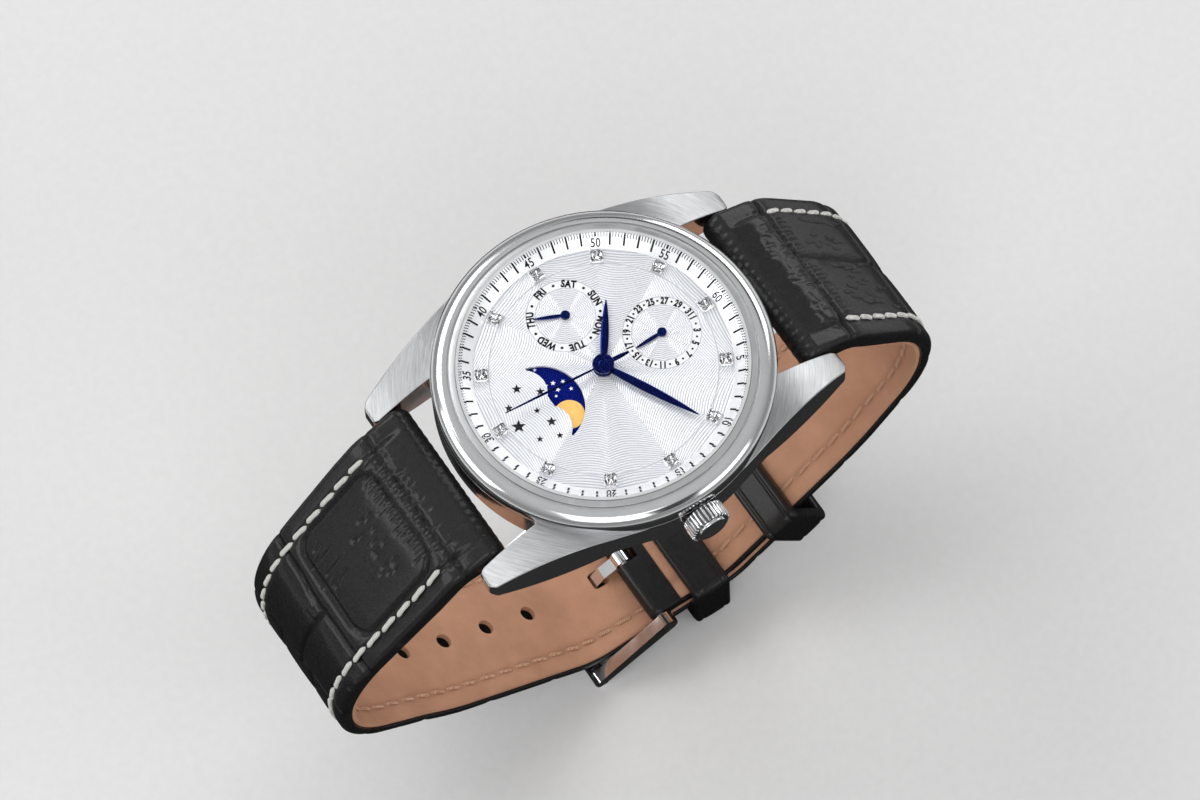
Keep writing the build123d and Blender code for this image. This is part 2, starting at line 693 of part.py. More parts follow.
def moon_window():
    """Opening over the moon disc: an arc above, two round bumps below."""
    window = Pos(*MOON_AT) * Circle(MOON_WINDOW_RADIUS)
    below = Pos(MOON_AT[0], MOON_AT[1] + MOON_WINDOW_LOW) * Rectangle(
        2 * MOON_WINDOW_RADIUS, 2 * MOON_WINDOW_RADIUS, align=(Align.CENTER, Align.MAX)
    )
    window = window - below
    for x in (-MOON_BUMP_X, MOON_BUMP_X):
        window = window - Pos(x, MOON_AT[1] - MOON_BUMP_DROP) * Circle(MOON_BUMP_RADIUS)
    valley = Rectangle(2 * MOON_VALLEY_HALF, 2 * MOON_VALLEY, align=(Align.CENTER, Align.MAX))
    return window - Pos(0, MOON_AT[1] + MOON_VALLEY) * valley


def dial():
    """Dial with two sunk small dials and the moon window."""
    plate = disc(DIAL_RADIUS, DIAL_LOW, DIAL_TOP)
    for at in (DAY_AT, DATE_AT):
        plate = plate - disc(SMALL_DIAL_RADIUS, DIAL_TOP - SMALL_DIAL_DEPTH, DIAL_TOP + OVERRUN, at)
        plate = plate - disc(SMALL_ARBOR_RADIUS + 2 * RUNNING, DIAL_LOW - OVERRUN, DIAL_TOP, at)
    plate = plate - disc(PIPE_RADIUS + 2 * RUNNING, DIAL_LOW - OVERRUN, DIAL_TOP + OVERRUN)
    cut = extrude(moon_window(), DIAL_THICKNESS + 2 * OVERRUN)
    return plate - Pos(0, 0, DIAL_LOW - OVERRUN) * cut


def chapter_ring():
    """Sloped ring round the dial that carries the minute track."""
    outer = BEZEL_BORE - HOLDER_GAP
    foot = DIAL_TOP + SEAT
    return turned(
        (CHAPTER_INNER, foot),
        (outer, foot),
        (outer, DIAL_TOP + CHAPTER_RISE),
        (outer - CHAPTER_FLAT, DIAL_TOP + CHAPTER_RISE),
        (CHAPTER_INNER, foot + CHAPTER_LIP),
    )


def at_hours(make):
    """One copy of a piece at each hour, turned to face the middle."""
    pieces = []
    for hour in range(STONE_COUNT):
        pieces.append(Rot(0, 0, hour * 360 / STONE_COUNT) * Pos(STONE_CIRCLE, 0, 0) * make())
    return pieces


def setting():
    """Square seat with four prongs."""
    low = DIAL_TOP + SEAT
    half = STONE_SIZE / 2
    seat = block((-half, half), (-half, half), (low, DIAL_TOP + SETTING_HEIGHT))
    corner = half - PRONG_INSET
    for x in (-corner, corner):
        for y in (-corner, corner):
            seat = seat + disc(PRONG_RADIUS, low, DIAL_TOP + PRONG_HEIGHT, (x, y))
    return seat


def stone():
    """Square stone: a girdle, a sloping crown and a flat table."""
    low = DIAL_TOP + SETTING_HEIGHT + SEAT
    half = STONE_SIZE / 2
    girdle = block((-half, half), (-half, half), (low, low + STONE_GIRDLE))
    table = STONE_SIZE * STONE_TABLE_SHARE
    base = Pos(0, 0, low + STONE_GIRDLE) * Rectangle(STONE_SIZE, STONE_SIZE)
    top = Pos(0, 0, low + STONE_GIRDLE + STONE_CROWN) * Rectangle(table, table)
    body = girdle + loft([base.face(), top.face()])
    corner = half - PRONG_INSET
    for x in (-corner, corner):
        for y in (-corner, corner):
            body = body - disc(PRONG_RADIUS + SEAT, low - OVERRUN, low + OVERRUN, (x, y))
    return body


# Hands

def leaf(length, width, tip, tail=0.0):
    """Flat outline of a leaf-shaped hand along +Y."""
    root = width / 2
    belly = length * LEAF_WIDEST_SHARE
    right = ThreePointArc((root / 2, -tail), (root, belly), (tip / 2, length))
    left = ThreePointArc((-tip / 2, length), (-root, belly), (-root / 2, -tail))
    ends = [Line((tip / 2, length), (-tip / 2, length)), Line((-root / 2, -tail), (root / 2, -tail))]
    return make_face([right, left] + ends)


def hand(length, width, hub, bore, low, thickness, tail=0.0):
    """Leaf hand with a round hub, still pointing to 12 o'clock."""
    blade = Pos(0, 0, low) * extrude(leaf(length, width, HAND_TIP_WIDTH, tail), thickness)
    body = blade + disc(hub, low, low + thickness)
    return body - disc(bore, low - OVERRUN, low + thickness + OVERRUN)


def hour_hand():
    bore = PIPE_RADIUS + SEAT
    blade = hand(HOUR_HAND_LENGTH, HOUR_HAND_WIDTH, HUB_RADIUS, bore, HOUR_HAND_LOW, HAND_THICKNESS)
    return Rot(0, 0, -HOUR_ANGLE) * blade


def minute_hand():
    bore = CANNON_RADIUS + SEAT
    blade = hand(MINUTE_HAND_LENGTH, MINUTE_HAND_WIDTH, HUB_RADIUS, bore, MINUTE_HAND_LOW, HAND_THICKNESS)
    return Rot(0, 0, -MINUTE_ANGLE) * blade


def seconds_hand():
    """Thin hand with a broader tail and a polished cap."""
    low = SECONDS_HAND_LOW
    blade = leaf(SECONDS_HAND_LENGTH, SECONDS_HAND_WIDTH, HAND_TIP_WIDTH)
    tail = Rot(0, 0, 180) * leaf(SECONDS_TAIL_LENGTH, SECONDS_TAIL_WIDTH, SECONDS_TAIL_WIDTH / 2)
    flat = Pos(0, 0, low) * (extrude(blade, SMALL_HAND_THICKNESS) + extrude(tail, SMALL_HAND_THICKNESS))
    cap = disc(HUB_RADIUS, low, low + CAP_HEIGHT)
    cap = chamfer(cap.edges().sort_by(Axis.Z)[-1], CAP_CHAMFER)
    bore = disc(CORE_RADIUS + SEAT, low - OVERRUN, low + CAP_HEIGHT / 2)
    return Rot(0, 0, -SECONDS_ANGLE) * (flat + cap - bore)


def small_hand(length, angle, at):
    """Hand of a small dial, on the end of its wheel's arbor."""
    low = SMALL_HAND_LOW
    blade = leaf(length, SMALL_HAND_WIDTH, HAND_TIP_WIDTH, SMALL_HAND_TAIL)
    body = Pos(0, 0, low) * extrude(blade, SMALL_HAND_THICKNESS)
    body = body + disc(SMALL_HUB_RADIUS, low, low + SMALL_HUB_HEIGHT)
    body = body - disc(PIVOT_RADIUS + SEAT, low - OVERRUN, low + SMALL_HUB_HEIGHT / 2)
    return Pos(at[0], at[1], 0) * Rot(0, 0, -angle) * body


# Movement: plates and holder

def bridge_posts():
    return [(MOVEMENT_RADIUS * x, MOVEMENT_RADIUS * y) for x, y in BRIDGE_POST_SHARES]


def calendar_posts():
    return [(MOVEMENT_RADIUS * x, MOVEMENT_RADIUS * y) for x, y in CALENDAR_POST_SHARES]


def main_plate():
    """Plate that every pivot, post and rail of the movement stands on."""
    plate = disc(MOVEMENT_RADIUS, PLATE_LOW, PLATE_HIGH)
    for at in bridge_posts():
        plate = plate + disc(BRIDGE_POST_RADIUS, BRIDGE_HIGH + SEAT, PLATE_LOW + SEAT, at)
        screw_end = BRIDGE_LOW + SCREW_LENGTH + BRIDGE_THICKNESS
        plate = plate - disc(SCREW_RADIUS + SEAT, BRIDGE_HIGH, screw_end, at)
    for at in calendar_posts():
        plate = plate + disc(CALENDAR_POST_RADIUS, PLATE_HIGH - SEAT, CALENDAR_LOW - SEAT, at)
    boss = (STEM_BOSS_X, STEM_BOSS_X + STEM_BOSS_LENGTH)
    boss_low = CROWN_Z - STEM_RADIUS - STEM_ROOM - RAIL_LIP_HEIGHT
    half = STEM_BOSS_HALF_WIDTH
    plate = plate + block(boss, (-half, half), (boss_low, PLATE_LOW + SEAT))
    slide_low = CROWN_Z - SLIDE_DROP - SLIDE_THICKNESS
    rails = (SLIDE_X, SLIDE_X + SLIDE_LENGTH + CROWN_TRAVEL + RAIL_SPARE)
    inner = SLIDE_HALF_WIDTH + RAIL_GAP
    for side in (-1, 1):
        wall = sorted((side * inner, side * (inner + RAIL_WIDTH)))
        lip = sorted((side * (inner - RAIL_LIP), side * (inner + RAIL_WIDTH)))
        plate = plate + block(rails, wall, (slide_low - RAIL_GAP - RAIL_LIP_HEIGHT, PLATE_LOW + SEAT))
        plate = plate + block(rails, lip, (slide_low - RAIL_GAP - RAIL_LIP_HEIGHT, slide_low - RAIL_GAP))
    plate = plate - rod(STEM_RADIUS + STEM_ROOM, SLIDE_X, MOVEMENT_RADIUS + OVERRUN, 0, CROWN_Z)
    plate = plate - disc(CANNON_RADIUS + RUNNING, PLATE_LOW - OVERRUN, PLATE_HIGH + OVERRUN)
    for at in (THIRD_AT, INTERMEDIATE_AT, ROTOR_AT):
        plate = plate - disc(PIVOT_RADIUS + RUNNING, PLATE_LOW - OVERRUN, PIVOT_LOW, at)
    for at in (MINUTE_AT, CALENDAR_DRIVE_AT, MOON_DRIVE_AT, DAY_AT, DATE_AT, MOON_AT):
        plate = plate - disc(SMALL_ARBOR_RADIUS + RUNNING, PIVOT_LOW, PLATE_HIGH + OVERRUN, at)
    return plate


def calendar_plate():
    """Thin plate over the motion work, under the display wheels."""
    plate = disc(MOVEMENT_RADIUS - CALENDAR_EDGE, CALENDAR_LOW, CALENDAR_HIGH)
    low, high = CALENDAR_LOW - OVERRUN, CALENDAR_HIGH + OVERRUN
    plate = plate - disc(PIPE_RADIUS + 2 * RUNNING, low, high)
    for at in (CALENDAR_DRIVE_AT, MOON_DRIVE_AT):
        plate = plate - disc(FINGER_PIPE_RADIUS + RUNNING, low, high, at)
    for at in (DAY_AT, DATE_AT, MOON_AT):
        plate = plate - disc(SMALL_ARBOR_RADIUS + RUNNING, low, high, at)
    return plate


def train_bridge():
    """Plate under the train, held by three screws."""
    spots = bridge_posts() + [ROTOR_AT]
    edges = []
    for spot in spots:
        edges += (Pos(*spot) * Circle(BRIDGE_EDGE_RADIUS)).edges()
    bridge = Pos(0, 0, BRIDGE_LOW) * extrude(make_hull(edges), BRIDGE_THICKNESS)
    low, high = BRIDGE_LOW - OVERRUN, BRIDGE_HIGH + OVERRUN
    for at in bridge_posts():
        bridge = bridge - disc(SCREW_RADIUS + SEAT, low, high, at)
    for at in (CENTRE, THIRD_AT, INTERMEDIATE_AT, ROTOR_AT):
        radius = CORE_RADIUS if at == CENTRE else PIVOT_RADIUS
        bridge = bridge - disc(radius + RUNNING, BRIDGE_LOW + BRIDGE_GAP, high, at)
    return bridge


def bridge_screws():
    """Three slotted screws, their heads towards the case back."""
    screws = []
    for at in bridge_posts():
        high = BRIDGE_LOW - SEAT
        head = disc(SCREW_HEAD_RADIUS, high - SCREW_HEAD_HEIGHT, high, at)
        shank = disc(SCREW_RADIUS, high - SEAT, high + SCREW_LENGTH, at)
        half = SCREW_SLOT / 2
        wide = (at[0] - SCREW_HEAD_RADIUS, at[0] + SCREW_HEAD_RADIUS)
        deep = (high - SCREW_HEAD_HEIGHT - OVERRUN, high - SCREW_HEAD_HEIGHT / 2)
        slot = block(wide, (at[1] - half, at[1] + half), deep)
        screws.append(head + shank - slot)
    return screws


def movement_holder():
    """Plastic ring that fills the case round the movement and carries the dial."""
    low = BACK_THICKNESS + BACK_RIM_HEIGHT + HOLDER_LIFT
    body = ring(HOLDER_RADIUS, MOVEMENT_RADIUS + MOVEMENT_GAP, low, DIAL_LOW - SEAT)
    body = body - disc(MOVEMENT_RADIUS + HOLDER_SHELF, CALENDAR_LOW, DIAL_LOW + OVERRUN)
    return body - rod(STEM_SLOT_RADIUS, MOVEMENT_RADIUS - OVERRUN, HOLDER_RADIUS + OVERRUN, 0, CROWN_Z)


# Movement: electric pieces

def circuit_board():
    """Half-round board with the driver chip under its cover."""
    board = disc(MOVEMENT_RADIUS - BOARD_INSET, BOARD_LOW, BOARD_HIGH)
    low, high = BOARD_LOW - OVERRUN, BOARD_HIGH + OVERRUN
    board = board - block((-CASE_RADIUS, CASE_RADIUS), (-CASE_RADIUS, BOARD_EDGE_Y), (low, high))
    for at in bridge_posts():
        board = board - disc(SCREW_HEAD_RADIUS + BOARD_HOLE_GAP, low, high, at)
    half = CHIP_SIZE / 2
    wide = (CHIP_X - half, CHIP_X + half)
    deep = (CHIP_Y - half, CHIP_Y + half)
    return board + block(wide, deep, (BOARD_HIGH - SEAT, BOARD_HIGH + CHIP_HEIGHT))


def battery():
    """Button cell with its stepped lid."""
    low = BACK_THICKNESS + BACK_ROOM - CLAMP_THICKNESS + 2 * SEAT
    at = (BATTERY_X, BATTERY_Y)
    can = disc(BATTERY_RADIUS, low + BATTERY_RIM, low + BATTERY_HEIGHT, at)
    return can + disc(BATTERY_RADIUS - BATTERY_RIM, low, low + BATTERY_RIM + SEAT, at)


def battery_clamp():
    """Spring strap under the cell, hooked to the main plate on both sides."""
    low = BACK_THICKNESS + BACK_ROOM - 2 * CLAMP_THICKNESS
    reach = BATTERY_RADIUS + CLAMP_GAP
    wide = (BATTERY_X - reach - CLAMP_LEG, BATTERY_X + reach + CLAMP_LEG)
    deep = (BATTERY_Y - CLAMP_WIDTH / 2, BATTERY_Y + CLAMP_WIDTH / 2)
    strap = block(wide, deep, (low, low + CLAMP_THICKNESS))
    for x in (wide[0], wide[1] - CLAMP_LEG):
        strap = strap + block((x, x + CLAMP_LEG), deep, (low, PLATE_LOW - SEAT))
    return strap


def coil_level():
    low, high = train_level(STATOR_SHARES)
    return (low + high) / 2


def drive_coil():
    """Winding on its bobbin, with a flange at each end."""
    z = coil_level()
    half = CORE_WIDTH / 2 + SEAT
    coil = rod(COIL_RADIUS, COIL_LEFT, COIL_RIGHT, COIL_Y, z)
    for x in (COIL_LEFT, COIL_RIGHT - CORE_WIDTH):
        flange = block(
            (x, x + CORE_WIDTH),
            (COIL_Y - COIL_RADIUS - SCREW_SLOT, COIL_Y + COIL_RADIUS + SCREW_SLOT),
            (z - COIL_RADIUS, z + COIL_RADIUS),
        )
        coil = coil + flange
    hole = block(
        (COIL_LEFT - OVERRUN, COIL_RIGHT + OVERRUN), (COIL_Y - half, COIL_Y + half), (z - half, z + half)
    )
    return coil - hole


def stator():
    """Soft iron plate: a bar through the coil, two legs and a ring round the rotor."""
    low, high = train_level(STATOR_SHARES)
    reach = MAGNET_RADIUS + STATOR_GAP + STATOR_MARGIN
    left = (COIL_LEFT - STATOR_LEG - SEAT, COIL_LEFT - SEAT)
    right = (COIL_RIGHT + SEAT, COIL_RIGHT + SEAT + STATOR_LEG)
    half = CORE_WIDTH / 2
    heights = (low, high)
    body = block((left[0], right[1]), (COIL_Y - half, COIL_Y + half), heights)
    top = (ROTOR_AT[1] - reach, ROTOR_AT[1] + reach)
    body = body + block(left, (COIL_Y - half, top[0] + STATOR_LEG), heights)
    body = body + block((left[0], ROTOR_AT[0]), (top[0], top[0] + STATOR_LEG), heights)
    body = body + block(right, (COIL_Y - half, top[0] + STATOR_LEG / 2), heights)
    body = body + block((ROTOR_AT[0], right[1]), (top[0], top[0] + STATOR_LEG / 2), heights)
    body = body + block((ROTOR_AT[0] - reach, ROTOR_AT[0] + reach), top, heights)
    return body - disc(MAGNET_RADIUS + STATOR_GAP, low - OVERRUN, high + OVERRUN, ROTOR_AT)


def quartz_can():
    """Metal can of the quartz, lying on the circuit board."""
    z = BOARD_HIGH + SEAT + QUARTZ_RADIUS
    return rod(QUARTZ_RADIUS, QUARTZ_X, QUARTZ_X + QUARTZ_LENGTH, QUARTZ_Y, z)


# Movement: wheels

def module(spacing, teeth, other):
    """Tooth module that makes two wheels meet at a spacing."""
    return 2 * spacing / (teeth + other)


def arbor(at, low=None, high=None, radius=PIVOT_RADIUS):
    """Thin axle, by default from its hole in the bridge to its hole in the main plate."""
    bottom = BRIDGE_LOW + BRIDGE_GAP + RUNNING if low is None else low
    top = PIVOT_LOW - RUNNING if high is None else high
    return disc(radius, bottom, top, at)


ROTOR_MODULE = module(ROTOR_SPACING, ROTOR_TEETH, INTERMEDIATE_TEETH)
FIRST_MODULE = module(INTERMEDIATE_SPACING, INTERMEDIATE_LEAVES, SECONDS_TEETH)
THIRD_MODULE = module(TRAIN_SPACING, SECONDS_LEAVES, THIRD_TEETH)
CENTRE_MODULE = module(TRAIN_SPACING, THIRD_LEAVES, CENTRE_TEETH)
MOTION_MODULE = module(MOTION_SPACING, CANNON_LEAVES, MINUTE_TEETH)
HOUR_MODULE = module(MOTION_SPACING, MINUTE_LEAVES, HOUR_TEETH)
DRIVE_MODULE = module(CALENDAR_SPACING, HOUR_TEETH, DAY_WHEEL_TEETH)


def rotor():
    """Magnet and pinion on one axle."""
    phase = mesh_phase(INTERMEDIATE_TEETH, 0, ROTOR_TEETH, ROTOR_ANGLE)
    pinion = gear(ROTOR_TEETH, ROTOR_MODULE, train_level(ROTOR_PINION_SHARES), ROTOR_AT, phase)
    return arbor(ROTOR_AT) + pinion + disc(MAGNET_RADIUS, *train_level(MAGNET_SHARES), ROTOR_AT)


def intermediate_wheel():
    phase = mesh_phase(SECONDS_TEETH, 0, INTERMEDIATE_LEAVES, INTERMEDIATE_ANGLE)
    at = INTERMEDIATE_AT
    wheel = gear(INTERMEDIATE_TEETH, ROTOR_MODULE, train_level(INTERMEDIATE_WHEEL_SHARES), at)
    pinion = gear(INTERMEDIATE_LEAVES, FIRST_MODULE, train_level(INTERMEDIATE_PINION_SHARES), at, phase)
    return arbor(at) + wheel + pinion


def seconds_wheel():
    """Wheel whose long arbor runs through the centre tube to the seconds hand."""
    wheel = gear(SECONDS_TEETH, FIRST_MODULE, train_level(SECONDS_WHEEL_SHARES), CENTRE)
    pinion = gear(SECONDS_LEAVES, THIRD_MODULE, train_level(SECONDS_PINION_SHARES), CENTRE)
    top = SECONDS_HAND_LOW + CAP_HEIGHT / 2 - SEAT
    return arbor(CENTRE, high=top, radius=CORE_RADIUS) + wheel + pinion


def third_wheel():
    phase = mesh_phase(SECONDS_LEAVES, 0, THIRD_TEETH, THIRD_ANGLE)
    wheel = gear(THIRD_TEETH, THIRD_MODULE, train_level(THIRD_WHEEL_SHARES), THIRD_AT, phase)
    pinion = gear(THIRD_LEAVES, CENTRE_MODULE, train_level(THIRD_PINION_SHARES), THIRD_AT)
    return arbor(THIRD_AT) + wheel + pinion


def centre_wheel():
    """Wheel that turns once an hour, with the tube that grips the cannon pinion."""
    phase = mesh_phase(THIRD_LEAVES, 0, CENTRE_TEETH, THIRD_ANGLE + 180)
    low, high = train_level(CENTRE_WHEEL_SHARES)
    wheel = gear(CENTRE_TEETH, CENTRE_MODULE, (low, high), CENTRE, phase)
    body = wheel + disc(TUBE_OUTER, low, MINUTE_HAND_LOW)
    return body - disc(CORE_RADIUS + RUNNING, low - OVERRUN, MINUTE_HAND_LOW + OVERRUN)


def cannon_pinion():
    """Tube with a pinion that carries the minute hand."""
    high = MINUTE_HAND_LOW + HAND_THICKNESS
    body = disc(CANNON_RADIUS, PLATE_LOW + RUNNING, high)
    body = body + gear(CANNON_LEAVES, MOTION_MODULE, motion_level(CANNON_TEETH_SHARES), CENTRE)
    return body - disc(CANNON_BORE, PLATE_LOW - OVERRUN, high + OVERRUN)


def minute_wheel():
    """Reduction wheel between the cannon pinion and the hour wheel."""
    phase = mesh_phase(CANNON_LEAVES, 0, MINUTE_TEETH, 0)
    leaf_phase = mesh_phase(HOUR_TEETH, 0, MINUTE_LEAVES, 0)
    wheel = gear(MINUTE_TEETH, MOTION_MODULE, motion_level(MINUTE_WHEEL_SHARES), MINUTE_AT, phase)
    pinion = gear(MINUTE_LEAVES, HOUR_MODULE, motion_level(MINUTE_PINION_SHARES), MINUTE_AT, leaf_phase)
    high = motion_level(MINUTE_PINION_SHARES)[1]
    return arbor(MINUTE_AT, PIVOT_LOW + RUNNING, high, SMALL_ARBOR_RADIUS) + wheel + pinion


def hour_wheel():
    """Wheel whose pipe carries the hour hand."""
    heights = motion_level(HOUR_WHEEL_SHARES)
    wheel = gear(HOUR_TEETH, HOUR_MODULE, heights, CENTRE)
    body = wheel + disc(PIPE_RADIUS, heights[0], HOUR_HAND_LOW + HAND_THICKNESS)
    return body - disc(PIPE_BORE, heights[0] - OVERRUN, MINUTE_HAND_LOW)


def day_driver(at, direction, finger_length):
    """Wheel that turns once in 24 hours, with the finger that steps a display."""
    phase = mesh_phase(HOUR_TEETH, 0, DAY_WHEEL_TEETH, direction)
    wheel = gear(DAY_WHEEL_TEETH, DRIVE_MODULE, motion_level(HOUR_WHEEL_SHARES), at, phase)
    low, high = DISPLAY_LEVEL
    axle = arbor(at, PIVOT_LOW + RUNNING, PLATE_HIGH + SEAT, SMALL_ARBOR_RADIUS)
    axle = axle + disc(FINGER_PIPE_RADIUS, PLATE_HIGH + SEAT, high, at)
    half = FINGER_WIDTH / 2
    finger = block((0, finger_length), (-half, half), (low, high))
    return wheel + axle + Pos(at[0], at[1], 0) * Rot(0, 0, FINGER_ANGLE) * finger


def display_arbor(at):
    """Axle of a display wheel, with a thin end for its hand."""
    hub = SMALL_HAND_LOW - SEAT
    thick = arbor(at, PIVOT_LOW + RUNNING, hub, SMALL_ARBOR_RADIUS)
    return thick + arbor(at, hub, SMALL_HAND_LOW + SMALL_HUB_HEIGHT / 2 - SEAT)


def day_wheel():
    teeth = star(DAY_STAR_TEETH, DAY_STAR_RADIUS, STAR_DEPTH, DISPLAY_LEVEL, DAY_AT)
    return teeth + display_arbor(DAY_AT)


def date_wheel():
    teeth = star(DATE_STAR_TEETH, DATE_STAR_RADIUS, STAR_DEPTH, DISPLAY_LEVEL, DATE_AT)
    return teeth + display_arbor(DATE_AT)


def moon_disc():
    """Disc with two painted moons, stepped by its toothed edge."""
    disc_teeth = star(MOON_TEETH, MOON_DISC_RADIUS, MOON_TOOTH_DEPTH, DISPLAY_LEVEL, MOON_AT)
    return disc_teeth + arbor(MOON_AT, PIVOT_LOW + RUNNING, DISPLAY_LEVEL[1], SMALL_ARBOR_RADIUS)


def calendar_jumpers():
    """Three spring arms whose tips hold the display wheels at their steps."""
    low, high = CALENDAR_HIGH + SEAT, DISPLAY_LEVEL[1]
    half = JUMPER_WIDTH / 2
    jumpers = []
    for at, radius, direction in (
        (DATE_AT, DATE_STAR_RADIUS, DATE_JUMPER_ANGLE),
        (DAY_AT, DAY_STAR_RADIUS, DAY_JUMPER_ANGLE),
        (MOON_AT, MOON_DISC_RADIUS, MOON_JUMPER_ANGLE),
    ):
        start = radius + JUMPER_GAP
        arm = block((start, start + JUMPER_ARM), (-half, half), (low, high))
        body = arm + disc(JUMPER_FOOT_RADIUS, low, high, (start + JUMPER_ARM, 0))
        jumpers.append(Pos(at[0], at[1], 0) * Rot(0, 0, direction) * body)
    return jumpers


# Crown, stem and setting slide

def crown():
    """Fluted crown, hollow towards the case."""
    start = CASE_RADIUS + CROWN_GAP
    end = start + CROWN_LENGTH
    body = rod(CROWN_RADIUS, start, end, 0, CROWN_Z)
    body = chamfer(body.edges().filter_by(GeomType.CIRCLE), CROWN_CHAMFER)
    for flute in range(CROWN_FLUTES):
        y, z = polar(CROWN_RADIUS + CROWN_FLUTE_LIFT, flute * 360 / CROWN_FLUTES)
        body = body - rod(CROWN_FLUTE_RADIUS, start - OVERRUN, end + OVERRUN, y, CROWN_Z + z)
    end_disc = rod(CROWN_END_RADIUS, end - SEAT, end + CROWN_END_HEIGHT, 0, CROWN_Z)
    outer_edge = end_disc.edges().filter_by(GeomType.CIRCLE).sort_by(Axis.X)[-1]
    body = body + chamfer(outer_edge, CROWN_END_CHAMFER)
    body = body - rod(CROWN_RECESS_RADIUS, start - OVERRUN, start + CROWN_RECESS_DEPTH, 0, CROWN_Z)
    return body - rod(STEM_RADIUS + SEAT, start, start + CROWN_RECESS_DEPTH + STEM_SCREW_DEPTH, 0, CROWN_Z)


def crown_tube():
    """Tube pressed into the band, which the stem passes through."""
    end = CASE_RADIUS + TUBE_PROUD
    tube = rod(TUBE_RADIUS, CASE_BORE - TUBE_INSET, end, 0, CROWN_Z)
    return tube - rod(TUBE_BORE, CASE_BORE - TUBE_INSET - OVERRUN, end + OVERRUN, 0, CROWN_Z)


def crown_gasket():
    """Seal ring in the crown's recess, round the tube."""
    inner = TUBE_RADIUS + RUNNING
    start = CASE_RADIUS + TUBE_PROUD - 2 * CROWN_GASKET_HEIGHT
    body = rod(CROWN_RECESS_RADIUS - RUNNING, start, start + CROWN_GASKET_HEIGHT, 0, CROWN_Z)
    return body - rod(inner, start - OVERRUN, start + CROWN_GASKET_HEIGHT + OVERRUN, 0, CROWN_Z)


def stem():
    """Stem from the setting slide to the crown, with the groove for the fork."""
    end = CASE_RADIUS + CROWN_GAP + CROWN_RECESS_DEPTH + STEM_SCREW_DEPTH - SEAT
    body = rod(STEM_RADIUS, STEM_INNER_X, end, 0, CROWN_Z)
    groove = rod(STEM_RADIUS + OVERRUN, GROOVE_X, GROOVE_X + GROOVE_WIDTH, 0, CROWN_Z)
    groove = groove - rod(GROOVE_RADIUS, GROOVE_X, GROOVE_X + GROOVE_WIDTH, 0, CROWN_Z)
    return body - groove


def setting_slide():
    """Sliding plate whose fork sits in the stem's groove."""
    high = CROWN_Z - SLIDE_DROP
    half = SLIDE_HALF_WIDTH
    plate = block((SLIDE_X, SLIDE_X + SLIDE_LENGTH), (-half, half), (high - SLIDE_THICKNESS, high))
    start = GROOVE_X + (GROOVE_WIDTH - FORK_THICKNESS) / 2
    wide = (start, start + FORK_THICKNESS)
    top = CROWN_Z + FORK_RISE
    fork = block(wide, (-FORK_HALF_WIDTH, FORK_HALF_WIDTH), (high - SEAT, top))
    inside = GROOVE_RADIUS + RUNNING
    fork = fork - rod(inside, start - OVERRUN, start + OVERRUN, 0, CROWN_Z)
    fork = fork - block((start - OVERRUN, start + OVERRUN), (-inside, inside), (CROWN_Z, top + OVERRUN))
    return plate + fork


# Spring bars

def bar_barrel(y, z):
    inner = BARREL_RADIUS - BARREL_WALL
    tube = rod(BARREL_RADIUS, -BARREL_HALF, BARREL_HALF, y, z)
    return tube - rod(inner, -BARREL_HALF - OVERRUN, BARREL_HALF + OVERRUN, y, z)


def bar_pin(y, side):
    """Sprung end of a spring bar: the tip stands in the lug, the collar limits its way in."""
    start = BARREL_HALF - PIN_INSIDE
    collar = BARREL_HALF + PIN_COLLAR_GAP
    tip_start = collar + PIN_COLLAR_WIDTH
    pin = rod(PIN_RADIUS, start, collar + SEAT, y, BAR_Z)
    pin = pin + rod(PIN_COLLAR_RADIUS, collar, tip_start, y, BAR_Z)
    pin = pin + rod(PIN_TIP_RADIUS, tip_start - SEAT, LUG_GAP / 2 + PIN_TIP_REACH, y, BAR_Z)
    return pin if side > 0 else mirror(pin, Plane.YZ)


def bar_spring(y):
    """Spring between the two pins of one bar, as the sleeve that it fills."""
    reach = BARREL_HALF - PIN_INSIDE - PIN_TRAVEL - SPRING_SPARE
    sleeve = rod(PIN_RADIUS, -reach, reach, y, BAR_Z)
    return sleeve - rod(PIN_RADIUS - SPRING_WALL, -reach - OVERRUN, reach + OVERRUN, y, BAR_Z)


# Strap

BUCKLE_Z = HEEL_Z - UPPER_THICKNESS / 2
UPPER_ELBOW = (BAR_Y + UPPER_ELBOW_OUT, UPPER_ELBOW_Z)
LOWER_ELBOW = (-BAR_Y - LOWER_ELBOW_OUT, LOWER_ELBOW_Z)
SLOPE = math.degrees(math.atan2(UPPER_ELBOW[1] - HEEL_Z, UPPER_ELBOW[0] - HEEL_Y))
SLOPE_WAY = (math.cos(math.radians(SLOPE)), math.sin(math.radians(SLOPE)))
DOUBLED = UPPER_THICKNESS + LEATHER_GAP
LOWER_INNER_Z = HEEL_Z - DOUBLED
FOOT_Z = LOWER_INNER_Z - LOWER_THICKNESS - LEATHER_GAP - KEEPER_WALL


def along_slope(distance, depth=0.0):
    """Place on the sloping run: a way up from the heel, and a depth outwards from the inner face."""
    return (
        HEEL_Y + distance * SLOPE_WAY[0] + depth * SLOPE_WAY[1],
        HEEL_Z + distance * SLOPE_WAY[1] - depth * SLOPE_WAY[0],
    )


